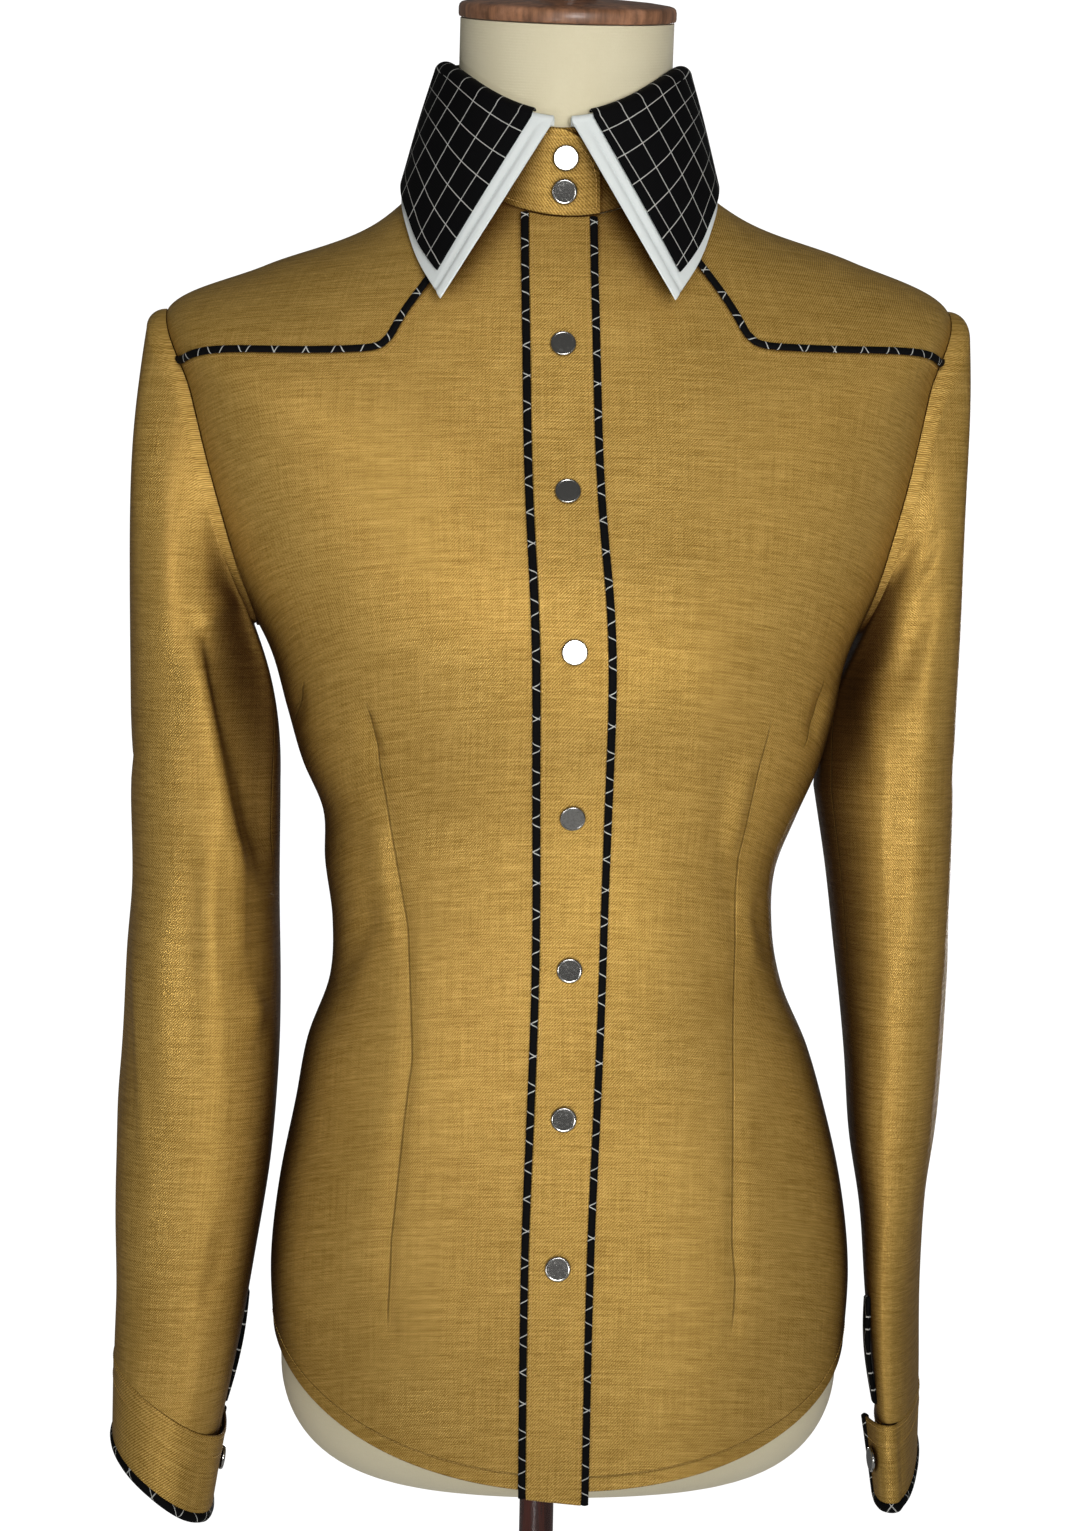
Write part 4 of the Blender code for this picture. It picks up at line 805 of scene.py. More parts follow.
def mesh_object(name, points, faces, corner_cut=None, marks=None, sharp=50):
    """A smooth mesh; corner_cut gives each face corner its place in the flat cut, in metres."""
    mesh = bpy.data.meshes.new(name)
    mesh.from_pydata(np.asarray(points).tolist(), [], [[int(k) for k in face] for face in faces])
    if corner_cut is not None:
        layer = mesh.uv_layers.new(name="cut")
        layer.data.foreach_set("uv", np.asarray(corner_cut, np.float32).ravel())
    for label, values in (marks or {}).items():
        made = mesh.attributes.new(label, "FLOAT_VECTOR", "POINT")
        made.data.foreach_set("vector", np.asarray(values, np.float32).ravel())
    graph = bmesh.new()
    graph.from_mesh(mesh)
    bmesh.ops.recalc_face_normals(graph, faces=graph.faces)
    graph.to_mesh(mesh)
    graph.free()
    mesh.shade_smooth()
    mesh.set_sharp_from_angle(angle=np.radians(sharp))
    return linked(name, mesh)


def grid_normals(points, around):
    """Unit normals of a grid of points, facing the side that the first two rows turn to."""
    padded = np.concatenate([points[:, -1:], points, points[:, :1]], 1) if around else points
    across = np.gradient(padded, axis=1)
    across = across[:, 1:-1] if around else across
    return unit(np.cross(across, np.gradient(points, axis=0)))


NO_SEAM = (1.0, 0.0, 0.0)


def cloth(name, outer, thick, cut, out, seams=(), around=False):
    """A thin layer with rounded edges, from its outer face, its flat cut and its outward directions.

    seams are grids of (distance, presence) for up to three sewn lines on it.
    """
    rows, columns = outer.shape[:2]
    out_now = grid_normals(outer, around)
    turned = np.sign((out_now * out).sum(-1).mean()) or 1.0
    out_now = out_now * turned
    inner = outer - out_now * thick
    index = np.arange(rows * columns).reshape(rows, columns)
    faces_at = closed(index) if around else index
    cut_at = np.arange(cut.shape[0] * cut.shape[1]).reshape(cut.shape[:2])
    flat = cut.reshape(-1, 2)
    count = rows * columns
    faces = [*quads(faces_at), *(quads(faces_at) + count)]
    corners = [flat[quads(cut_at)].reshape(-1, 2)] * 2
    points = [outer.reshape(-1, 3), inner.reshape(-1, 3)]
    if around:
        loops = [(faces_at[0], cut_at[0], faces_at[1]), (faces_at[-1], cut_at[-1], faces_at[-2])]
    else:

        def rim(grid):
            return np.concatenate([grid[0], grid[1:, -1], grid[-1, -2::-1], grid[-2::-1, 0]])

        inside = np.clip(np.indices((rows, columns)), 1, [[[rows - 2]], [[columns - 2]]])
        loops = [(rim(index), rim(cut_at), rim(index[inside[0], inside[1]]))]
    flat_outer, flat_inner = points
    total = 2 * count
    sources = []
    for edge, edge_cut, within in loops:
        middle = (flat_outer[edge] + flat_inner[edge]) / 2
        middle = middle + unit(flat_outer[edge] - flat_outer[within]) * thick * 0.4
        ring = total + np.arange(len(edge))
        total += len(edge)
        points.append(middle)
        sources.append(edge)
        for low, high in ((edge, ring), (ring, edge + count)):
            faces += [*quads(np.stack([low, high]))]
            corners.append(flat[quads(np.stack([edge_cut, edge_cut]))].reshape(-1, 2))
    marks = {}
    for number in range(3):
        values = np.empty((count, 3))
        values[:] = NO_SEAM
        if number < len(seams):
            values[:, :2] = seams[number].reshape(-1, 2)
        beyond = [values[source] for source in sources]
        marks[f"seam_{number + 1}"] = np.concatenate([values, values, *beyond])
    return mesh_object(name, np.concatenate(points), faces, np.concatenate(corners), marks)


def flat_size(points, around=False):
    """Widest row, longest column and area of a grid of points, all in metres."""
    grid = closed(points) if around else points
    across, down = np.diff(grid, axis=1), np.diff(grid, axis=0)
    area = np.linalg.norm(np.cross(across[:-1], down[:, :-1]), axis=-1).sum()
    width = np.linalg.norm(across, axis=-1).sum(1).max()
    length = np.linalg.norm(down, axis=-1).sum(0).max()
    return (round(float(width), 4), round(float(length), 4)), float(min(area, width * length))


def tube(name, centre, wide, high, half_wide, half_high, sides=12):
    """A bent bar with an oval section and closed ends, its cut laid out along it."""
    angles = np.arange(sides) * 2 * np.pi / sides
    ring = (
        centre[:, None]
        + wide[:, None] * (half_wide * np.cos(angles))[None, :, None]
        + high[:, None] * (half_high * np.sin(angles))[None, :, None]
    )
    ends = [ring[0] * 0.45 + centre[0] * 0.55, ring[-1] * 0.45 + centre[-1] * 0.55]
    step = half_high * 0.5
    ends[0] = ends[0] + unit(centre[0] - centre[1]) * step
    ends[1] = ends[1] + unit(centre[-1] - centre[-2]) * step
    rings = np.concatenate([ends[0][None], ring, ends[1][None]])
    gone = gone_along(centre)
    gone = np.concatenate([[-step], gone, [gone[-1] + step]])
    index = np.arange(len(rings) * sides).reshape(-1, sides)
    round_it = np.arange(sides + 1) * 2 * (half_wide + half_high) / sides
    grid = stack(round_it[None], gone[:, None])
    caps = [np.tile(grid[end, :1], (sides, 1)) for end in (0, -1)]
    uv = np.concatenate([quads(grid).reshape(-1, 2), *caps])
    return mesh_object(name, rings.reshape(-1, 3), [*quads(closed(index)), index[0][::-1], index[-1]], uv)


def skin(name, rings, foot, top, gone, wide=1.0, sharp=50):
    """A closed surface over rings of points, from a foot point to a top point.

    gone holds the way up to the foot, to each ring and to the top, and wide is the cut's width round.
    """
    count, sides = rings.shape[:2]
    index = closed(np.arange(count * sides).reshape(count, sides))
    round_it = np.arange(sides + 1) * wide / sides
    grid = stack(round_it[None], gone[1:-1, None])
    faces, uv = [*quads(index)], [quads(grid)]
    start, end = round_it[:-1], round_it[1:]
    faces += [*stack(count * sides, index[0, 1:], index[0, :-1])]
    uv.append(stack(stack(start, end, start), gone[[0, 1, 1]]))
    faces += [*stack(count * sides + 1, index[-1, :-1], index[-1, 1:])]
    uv.append(stack(stack(start, start, end), gone[[-1, -2, -2]]))
    points = np.concatenate([rings.reshape(-1, 3), [foot, top]])
    return mesh_object(name, points, faces, np.concatenate([part.reshape(-1, 2) for part in uv]), sharp=sharp)


def lathe(name, profile, sides, origin=(0, 0, 0), axis=(0, 0, 1)):
    """A turned solid: profile holds (radius, height) pairs from its foot to its top, both on the axis."""
    profile = np.array(profile, float)
    axis = np.array(axis, float) / np.linalg.norm(axis)
    side = np.cross(axis, (0.0, 1.0, 0.0) if abs(axis[1]) < 0.9 else (1.0, 0.0, 0.0))
    side /= np.linalg.norm(side)
    other = np.cross(axis, side)
    angles = np.arange(sides) * 2 * np.pi / sides
    spokes = np.cos(angles)[:, None] * side + np.sin(angles)[:, None] * other
    middles = np.array(origin) + axis * profile[:, 1:]
    rings = middles[1:-1, None] + spokes * profile[1:-1, :1, None]
    return skin(name, rings, middles[0], middles[-1], gone_along(profile), sharp=35)


# Sections of one stitch: the place along it, and its thickness and height in shares of the radius.
STITCH_FORM = ((-0.5, 0.35, -0.9), (-0.36, 0.95, 0.1), (0.0, 1.0, 0.45), (0.36, 0.95, 0.1), (0.5, 0.35, -0.9))
STITCH_SIDES, STITCH_SHARE = 5, 0.80


def stitches(name, rows, radius=0.00019):
    """Threads laid end to end along each row; a row is (points, outward directions)."""
    pitch = bpy.context.scene.shirt_cloth.stitch
    angles = np.arange(STITCH_SIDES) * 2 * np.pi / STITCH_SIDES
    size = len(STITCH_FORM) * STITCH_SIDES
    template = quads(closed(np.arange(size).reshape(-1, STITCH_SIDES)))
    points, faces, total = [], [], 0
    for row, out in rows:
        gone = gone_along(row)
        count = max(int(gone[-1] / pitch), 1)
        at = (np.arange(count) + 0.5) * gone[-1] / count
        place = read_at(at, gone, row)
        run = unit(read_at(at + pitch * 0.4, gone, row) - read_at(at - pitch * 0.4, gone, row))
        side = unit(np.cross(unit(read_at(at, gone, out)), run))
        up = np.cross(run, side)
        sections = []
        for share, thick, high in STITCH_FORM:
            centre = place + run * (share * pitch * STITCH_SHARE) + up * (high * radius)
            for angle in angles:
                spoke = side * (np.cos(angle) * radius * thick) + up * (np.sin(angle) * radius * thick)
                sections.append(centre + spoke)
        points.append(np.stack(sections, 1).reshape(-1, 3))
        faces.append((template + (total + np.arange(count) * size)[:, None, None]).reshape(-1, 4))
        total += count * size
    mesh = bpy.data.meshes.new(name)
    mesh.from_pydata(np.concatenate(points).tolist(), [], np.concatenate(faces).tolist())
    mesh.shade_smooth()
    return linked(name, mesh)


# ---- finishes ----
class Wire:
    """A socket of a shader tree. Sums on it add Math nodes, and node() adds any other node."""

    def __init__(self, tree, socket=None):
        self.tree, self.socket = tree, socket

    def node(self, kind, settings=None, values=None, output=0):
        """Adds a node: its settings first, then the values or wires of its sockets."""
        made = self.tree.nodes.new(kind)
        for name, value in (settings or {}).items():
            if name == "stops":
                stops = made.color_ramp.elements
                while len(stops) < len(value):
                    stops.new(0.5)
                for stop, (place, colour) in zip(stops, value):
                    stop.position, stop.color = place, (*colour, 1.0)
            else:
                setattr(made, name, value)
        for name, value in (values or {}).items():
            if isinstance(value, Wire):
                self.tree.links.new(value.socket, made.inputs[name])
            else:
                made.inputs[name].default_value = value
        return Wire(self.tree, made.outputs[output])

    def maths(self, operation, *others):
        return self.node("ShaderNodeMath", {"operation": operation}, dict(enumerate((self, *others))))

    def __add__(self, other):
        return self.maths("ADD", other)

    __radd__ = __add__

    def __mul__(self, other):
        return self.maths("MULTIPLY", other)

    __rmul__ = __mul__

    def __sub__(self, other):
        return self.maths("SUBTRACT", other)

    def __rsub__(self, other):
        return self * -1 + other

    def __truediv__(self, other):
        return self.maths("DIVIDE", other)

    def __abs__(self):
        return self.maths("ABSOLUTE")

    def up_to(self, low, high):
        """0 below low and 1 above high, smooth between."""
        return self.node(
            "ShaderNodeMapRange",
            {"interpolation_type": "SMOOTHSTEP"},
            {"Value": self, "From Min": low, "From Max": high},
        )

    def colours(self, first, second, blend="MIX"):
        """The first colour where this is 0 and the second where it is 1."""
        first, second = (c if isinstance(c, Wire) else (*c, 1.0) for c in (first, second))
        settings = {"data_type": "RGBA", "blend_type": blend}
        return self.node("ShaderNodeMix", settings, {0: self, 6: first, 7: second}, 2)


def shader_of(name):
    """A new material with its Principled shader and a wire to build its nodes from."""
    made = bpy.data.materials.new(name)
    made.use_nodes = True
    tree = made.node_tree
    return made, tree.nodes["Principled BSDF"], Wire(tree)


def set_up(shader, **values):
    for name, value in values.items():
        shader.inputs[name.replace("_", " ")].default_value = value


def join(wire, shader, name):
    wire.tree.links.new(wire.socket, shader.inputs[name])


def relief(wire, height, strength, distance, beneath=None):
    values = {"Height": height, "Strength": strength, "Distance": distance}
    if beneath is not None:
        values["Normal"] = beneath
    return wire.node("ShaderNodeBump", None, values)


def noise(wire, vector, scale, detail=2.0, rough=0.5):
    values = {"Vector": vector, "Scale": scale, "Detail": detail, "Roughness": rough}
    return wire.node("ShaderNodeTexNoise", None, values)


def mottle(wire, cut, across, along, lift=0.0, detail=2.0, rough=0.5):
    """Noise on the flat cut, which is scaled differently each way and shifted."""
    values = {"Vector": cut, "Scale": (across, along, 1.0), "Location": (lift, lift * 0.7, 0.0)}
    return noise(wire, wire.node("ShaderNodeMapping", {"vector_type": "POINT"}, values), 1.0, detail, rough)


def toned(colour, *shares):
    """A colour scaled by one share, or by one for each channel, and kept to 1 at most."""
    shares = shares if len(shares) == 3 else shares * 3
    return tuple(min(c * k, 1.0) for c, k in zip(colour, shares))


def in_space(wire):
    """Each place in the piece's own space."""
    return wire.node("ShaderNodeTexCoord", None, None, 3)


def flat_cut(wire):
    return wire.node("ShaderNodeUVMap", {"uv_map": "cut"})


def parts_of(wire, vector):
    made = wire.tree.nodes.new("ShaderNodeSeparateXYZ")
    wire.tree.links.new(vector.socket, made.inputs[0])
    return [Wire(wire.tree, socket) for socket in made.outputs]


def made_once(builder):
    """Keeps a finish, so that every piece of one cloth shares it."""
    kept = {}

    def finish():
        if "made" not in kept:
            kept["made"] = builder()
        return kept["made"]

    return finish


# Waves of each weave, in radians for each metre of cloth.
TWILL_WAVES, BLACK_WAVES, COTTON_WAVES, RIB_WAVES, LOOP_WAVES = 4190, 6200, 9000, 3300, 4600
DIAGONAL = 0.7071  # the check lies at 45 degrees to the cut
LINE_EDGE = (0.00010, 0.00026)  # metres from a line's middle: it fades from the first to the second


@made_once
def tan_twill():
    colour = bpy.context.scene.shirt_cloth.colour
    made, shader, wire = shader_of("tan_twill")
    cut = flat_cut(wire)
    u, v, _ = parts_of(wire, cut)
    slubs = mottle(wire, cut, 24, 820, 0.0, 3.0, 0.62) - 0.5
    fine_slubs = mottle(wire, cut, 100, 1600, 3.1, 2.0, 0.6) - 0.5
    warp = mottle(wire, cut, 1150, 30, 7.7, 2.0, 0.55) - 0.5
    cloud = mottle(wire, cut, 16, 22, 1.3) - 0.5
    speck = mottle(wire, cut, 1500, 1500, 5.1, 1.0) - 0.5
    twill = (u * TWILL_WAVES - v * TWILL_WAVES + speck * 3.0).maths("SINE")
    tone = slubs * 0.62 + fine_slubs * 0.52 + warp * 0.34 + cloud * 0.16 + speck * 0.58 + twill * 0.19 + 0.48
    dark, light = toned(colour, 0.50, 0.44, 0.30), toned(colour, 1.50, 1.56, 1.95)
    stops = ((0.20, dark), (0.50, tuple(colour)), (0.80, light))
    woven = wire.node("ShaderNodeValToRGB", {"stops": stops}, {"Fac": tone})
    # Painted shade: the twill's colour is darkened towards brown where the cloth turns away from the view,
    # less where it faces up, as a light from the front would leave it.
    turned_away_shade = wire.node("ShaderNodeLayerWeight", None, {"Blend": 0.5}, 1).up_to(0.42, 0.98)
    facing_up = parts_of(wire, wire.node("ShaderNodeNewGeometry", None, None, 1))[2].up_to(0.05, 0.55)
    edge = (turned_away_shade * (1 - facing_up) * 0.42).colours(woven, (0.50, 0.34, 0.07), "MULTIPLY")
    # Painted shade: where ambient occlusion finds the cloth closed in, under the arms, between sleeve and
    # torso and in folds, its colour is darkened nearly to black, and it is made rougher and less metallic so
    # that it shines less there.
    open_air = wire.node("ShaderNodeAmbientOcclusion", {"samples": 6}, {"Distance": 0.12}, 1)
    hollow_shade = 1 - open_air.up_to(0.24, 0.78)
    deep = (hollow_shade * 0.98).colours(edge, (0.10, 0.05, 0.02), "MULTIPLY")
    sewn = None
    for number in (1, 2, 3):
        mark = wire.node("ShaderNodeAttribute", {"attribute_name": f"seam_{number}"}, None, 1)
        far, there, _ = parts_of(wire, mark)
        one = (1 - abs(far).up_to(0.0001, 0.0008)) * there
        sewn = one if sewn is None else sewn.maths("MAXIMUM", one)
    join((sewn * 0.40).colours(deep, toned(colour, 0.20)), shader, "Base Color")
    join(0.385 - slubs * 0.25 + sewn * 0.2 + hollow_shade * 0.6, shader, "Roughness")
    join(0.30 - hollow_shade * 0.3, shader, "Metallic")
    weave = relief(wire, twill * 0.5 + slubs * 2.0 + fine_slubs * 1.2, 0.40, 0.00030)
    join(relief(wire, 1 - sewn, 0.8, 0.0005, weave), shader, "Normal")
    set_up(shader, Specular_IOR_Level=0.16, Specular_Tint=(1.0, 0.82, 0.50, 1.0))
    return made


@made_once
def windowpane():
    trim = bpy.context.scene.shirt_trim
    made, shader, wire = shader_of("black_windowpane")
    cut = flat_cut(wire)
    u, v, _ = parts_of(wire, cut)
    wander = mottle(wire, cut, 260, 260, 0.0, 1.0) * 0.0003
    one = ((u + v + wander) * (DIAGONAL / trim.pane)).maths("FRACT")
    two = ((u - v + wander + 0.0031) * (DIAGONAL / trim.pane_long)).maths("FRACT")
    near_one = abs(one - 0.5) * trim.pane
    near_two = abs(two - 0.5) * trim.pane_long
    lines = (1 - near_one.up_to(*LINE_EDGE)).maths("MAXIMUM", 1 - near_two.up_to(*LINE_EDGE))
    thread = mottle(wire, cut, 2400, 2400, 0.0, 1.0)
    drawn = lines * (0.55 + thread * 0.55)
    lint = mottle(wire, cut, 900, 900, 4.0).up_to(0.62, 0.80)
    ground = (lint * 0.5).colours(tuple(trim.ground), toned(trim.ground, 2.6))
    join(drawn.colours(ground, tuple(trim.line)), shader, "Base Color")
    join(0.78 - drawn * 0.1, shader, "Roughness")
    weave = (u * BLACK_WAVES + v * BLACK_WAVES).maths("SINE") * 0.5 + thread + drawn * 0.6
    join(relief(wire, weave, 0.25, 0.00022), shader, "Normal")
    set_up(shader, Specular_IOR_Level=0.10)
    return made


@made_once
def white_cotton():
    white = tuple(bpy.context.scene.shirt_trim.white)
    made, shader, wire = shader_of("white_cotton")
    cut = flat_cut(wire)
    u, v, _ = parts_of(wire, cut)
    weave = (u * COTTON_WAVES).maths("SINE") * (v * COTTON_WAVES).maths("SINE")
    cloud = mottle(wire, cut, 120, 120, 0.0, 3.0, 0.6)
    join((cloud * 0.35).colours(white, toned(white, 0.84, 0.90, 0.95)), shader, "Base Color")
    join(0.74 + cloud * 0.12, shader, "Roughness")
    soft = relief(wire, cloud, 0.25, 0.0009)
    join(relief(wire, weave, 0.2, 0.00012, soft), shader, "Normal")
    set_up(shader, Specular_IOR_Level=0.3, Sheen_Weight=0.08)
    return made


def thread_of(name, colour):
    """Twisted thread of one colour."""
    made, shader, wire = shader_of(name)
    twist = noise(wire, in_space(wire), 2600.0, 2.0)
    join(twist.colours(toned(colour, 0.75), toned(colour, 1.5)), shader, "Base Color")
    join(0.45 + twist * 0.2, shader, "Roughness")
    join(relief(wire, twist, 0.3, 0.0001), shader, "Normal")
    set_up(shader, Specular_IOR_Level=0.4, Sheen_Weight=0.1)
    return made


@made_once
def tan_thread():
    return thread_of("tan_thread", toned(bpy.context.scene.shirt_cloth.colour, 1.15, 1.12, 1.0))


@made_once
def white_thread():
    return thread_of("white_thread", (0.62, 0.68, 0.66))


@made_once
def snap_metal():
    made, shader, wire = shader_of("snap_metal")
    at = in_space(wire)
    wear = noise(wire, at, 900.0, 4.0, 0.65)
    scratches = noise(wire, at, 3800.0, 2.0, 0.5)
    metal = tuple(bpy.context.scene.shirt_trim.metal)
    join(wear.up_to(0.35, 0.75).colours(metal, toned(metal, 0.72)), shader, "Base Color")
    join(0.10 + wear.up_to(0.45, 0.80) * 0.16 + scratches * 0.05, shader, "Roughness")
    join(relief(wire, wear + scratches * 0.4, 0.02, 0.0002), shader, "Normal")
    set_up(shader, Metallic=1.0)
    return made


@made_once
def form_jersey():
    jersey = tuple(bpy.context.scene.dress_form.jersey)
    made, shader, wire = shader_of("form_jersey")
    cut = flat_cut(wire)
    u, v, _ = parts_of(wire, cut)
    ribs = abs((u * RIB_WAVES).maths("SINE"))
    loops = (v * LOOP_WAVES + ribs * 1.2).maths("SINE")
    cloud = mottle(wire, cut, 26, 26, 0.0, 3.0, 0.6)
    pills = mottle(wire, cut, 620, 620, 0.0, 2.0, 0.6)
    join((cloud * 0.5 + pills * 0.3).colours(jersey, toned(jersey, 0.86, 0.83, 0.76)), shader, "Base Color")
    join(0.86 + pills * 0.1, shader, "Roughness")
    knit = relief(wire, ribs * 0.5 + loops * 0.35, 0.25, 0.0003)
    join(relief(wire, pills + cloud, 0.16, 0.0008, knit), shader, "Normal")
    set_up(shader, Specular_IOR_Level=0.2, Sheen_Weight=0.15)
    return made


def wood_of(name, colour, coat, rough, wear_depth):
    """Turned wood, its grain drawn out along the axis."""
    made, shader, wire = shader_of(name)
    at = in_space(wire)
    grain_at = wire.node("ShaderNodeMapping", None, {"Vector": at, "Scale": (1.0, 1.0, 0.09)})
    grain = noise(wire, grain_at, 210.0, 4.0, 0.6)
    pores = noise(wire, grain_at, 1300.0, 2.0, 0.5)
    wear = noise(wire, at, 46.0, 5.0, 0.65).up_to(0.46, 0.74)
    stops = ((0.32, toned(colour, 0.42)), (0.52, colour), (0.72, toned(colour, 1.75)))
    stained = wire.node("ShaderNodeValToRGB", {"stops": stops}, {"Fac": grain})
    pale = tuple(min(c * 2.2 + 0.05, 1.0) for c in colour)
    join((wear * wear_depth).colours(stained, pale), shader, "Base Color")
    join(rough + wear * 0.28 * wear_depth + pores * 0.06, shader, "Roughness")
    join(relief(wire, grain + pores * 0.6, 0.12, 0.0006), shader, "Normal")
    set_up(shader, Coat_Weight=coat, Coat_Roughness=0.08, Specular_IOR_Level=0.45)
    return made


@made_once
def worn_wood():
    return wood_of("worn_wood", tuple(bpy.context.scene.dress_form.cap), 0.15, 0.40, 0.55)


@made_once
def dark_wood():
    return wood_of("dark_wood", tuple(bpy.context.scene.dress_form.stand), 0.85, 0.22, 0.05)


# ---- what every piece does ----
def place_piece(piece, finish, slot, *nodes):
    """Gives a piece its finish, sets it on the body and has it stand for its plain solids."""
    piece.data.materials.append(finish())
    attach(piece, "root")
    if nodes:
        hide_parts(*nodes)
    return piece


def tan_stitches(name, rows):
    """Rows of the tan thread's stitches, as a piece."""
    return place_piece(stitches(name, rows), tan_thread, "tan_twill")


# How the cloth is cut: the weft rises towards the sides, and the warp wraps less than the body does.
WEFT_RISE, WARP_WRAP = 0.30, 0.8


def body_cut(points, along):
    """Where each place lies in the cloth before it is sewn: across from the centre, and up along the warp."""
    x, y, z = (points[..., k] for k in range(3))
    middle = np.where(y < 0, -smooth(BODY, "along", "front", along), smooth(BODY, "along", "back", along))
    across = x + np.sign(x) * WARP_WRAP * np.abs(y - middle)
    return stack(across, z * np.sqrt(1 - WEFT_RISE**2) - WEFT_RISE * np.abs(y))


def body_panel(name, node, pairs, seams=(), lift=0.0):
    """A panel of cloth on the torso, over a grid of (turn, along) pairs."""
    turn, along = pairs[..., 0], pairs[..., 1]
    plain = body(turn, along)
    thick = bpy.context.scene.shirt_cloth.thickness
    cut, out = body_cut(plain, along), normal(body, turn, along)
    made = cloth(name, worn(turn, along, lift), thick, cut, out, seams)
    place_piece(made, tan_twill, "tan_twill", node)
    size, area = flat_size(plain)
    return made


def seam_marks(points, out, path, facing):
    """(distance, presence) of a sewn line on each point."""
    signed, share = from_path(points[..., [0, 2]], path)
    there = ease(-0.01, 0.03, share) * ease(-0.01, 0.03, 1 - share) * ease(0.0, 0.2, out[..., 1] * facing)
    return stack(signed, there)


def hem_marks(turn, along):
    """(distance, presence) of the hem's stitch line."""
    slope = (hem(turn + 1e-3) - hem(turn - 1e-3)) / 2e-3 / HEM_METRES
    return stack((along - hem(turn)) / np.sqrt(1 + slope**2) - HEM_MARK, 1.0 + 0 * turn)


def yoke_seam(above, counts=(30, 42)):
    """The left front yoke seam as (turn, along) pairs; above is 1 on the yoke's side, -1 on the front's."""
    gap = 0.8 * SEAM * above
    neck = (YOKE_TURN + gap * 9, NECK_ALONG)
    corner = (YOKE_CORNER[0] + gap * 6, YOKE_CORNER[1] + gap)
    end = armhole(np.array(YOKE_MEETS_ARMHOLE), ARMHOLE_GAP) + np.array([0.0, gap])
    rising, level = line(neck, corner, counts[0] + 1), line(corner, end, counts[1] + 1)
    share = line(0, 1, counts[1] + 1)
    level[:, 1] -= YOKE_SAG * share**1.5 * np.sqrt(1 - share) / 0.325  # that curve's peak
    seam = np.concatenate([rising, level[1:]])
    for _ in range(5):
        seam[1:-1] += (seam[:-2] + seam[2:] - 2 * seam[1:-1]) * 0.25
    return seam


FRONT_ROWS = (120, 60)  # rows below the armhole and beside it


def front_pairs(side):
    """A front; the left one (side 1) also runs on under the band."""
    along = line(hem(0.0), NECK_ALONG, sum(FRONT_ROWS) + 1)
    middle, half = band("middle", along), band("half", along)
    starts = [middle - half + 0.0007]
    if side > 0:
        starts = [middle + (half - 0.0012) * k for k in line(-1, 1, 10)] + [middle + half + 0.003]
    strips = [stack(turn_at(x, along) * side, along) for x in starts]
    seam = yoke_seam(-1)
    top = np.concatenate([line(strips[-1][-1], seam[0], 19), seam[1:]])
    side_turn = np.pi / 2 - SIDE_GAP
    place = line(np.pi - 0.02, YOKE_MEETS_ARMHOLE, FRONT_ROWS[1] + 1)
    rise = line((side_turn, hem(side_turn)), (side_turn, UNDERARM), FRONT_ROWS[0] + 1)
    outer = np.concatenate([rise, armhole(place, ARMHOLE_GAP)[1:]])
    foot = line(strips[-1][0][0], side_turn, len(top))
    pairs = fill(stack(foot, hem(foot)), top, strips[-1], outer)
    pairs = np.concatenate([np.stack(strips[:-1], 1), pairs], axis=1) if side > 0 else pairs
    return mirrored(pairs, side)


def back_seam(start, columns):
    turn = line(start[0], 2 * np.pi - start[0], columns + 1)
    share = np.clip(1 - np.abs(turn - np.pi) / (np.pi - start[0]), 0, 1)
    return stack(turn, start[1] + BACK_YOKE_RISE * np.sqrt(share) - BACK_YOKE_POINT * share**2)


def back_pairs(rows=(100, 56), columns=130):
    turn = line(np.pi / 2 + SIDE_GAP, 3 * np.pi / 2 - SIDE_GAP, columns + 1)
    place = line(-(np.pi - 0.02), -YOKE_MEETS_ARMHOLE, rows[1] + 1)
    rise = line((turn[0], hem(turn[0])), (turn[0], UNDERARM), rows[0] + 1)
    left = np.concatenate([rise, armhole(place, ARMHOLE_GAP)[1:]])
    right = left * [-1, 1] + [2 * np.pi, 0]
    seam = back_seam(left[-1], columns)
    return fill(stack(turn, hem(turn)), seam - [0, 0.8 * SEAM], left, right, np.pi)


def yoke_front_pairs(side, rows=44):
    bottom = yoke_seam(1)
    top_turn = np.pi / 2 - SIDE_GAP
    place = line(YOKE_MEETS_ARMHOLE, 0.04, rows + 1)
    outer = armhole(place, ARMHOLE_GAP)
    top = line((top_turn, NECK_ALONG), (top_turn, outer[-1][1]), len(bottom))
    inner = line(bottom[0], top[0], rows + 1)
    return mirrored(fill(bottom, top, inner, outer), side)


def yoke_back_pairs(rows=40, columns=(30, 60, 30)):
    place = line(-YOKE_MEETS_ARMHOLE, -0.04, rows + 1)
    left = armhole(place, ARMHOLE_GAP)
    right = left * [-1, 1] + [2 * np.pi, 0]
    turn = np.pi / 2 + SIDE_GAP
    neck_left, neck_right = (turn, NECK_ALONG), (2 * np.pi - turn, NECK_ALONG)
    top = np.concatenate([
        line((turn, left[-1][1]), neck_left, columns[0] + 1),
        line(neck_left, neck_right, columns[1] + 1)[1:],
        line(neck_right, (2 * np.pi - turn, left[-1][1]), columns[2] + 1)[1:],
    ])
    bottom = back_seam(left[0], sum(columns)) + [0, 0.8 * SEAM]
    return fill(bottom, top, left, right, np.pi)


def stitch_row(pairs, lift=STITCH_LIFT, count=400):
    """A row of stitches along (turn, along) pairs on the worn cloth."""
    pairs = resampled(pairs, count)
    turn, along = pairs[:, 0], pairs[:, 1]
    return worn(turn, along, lift), normal(body, turn, along)


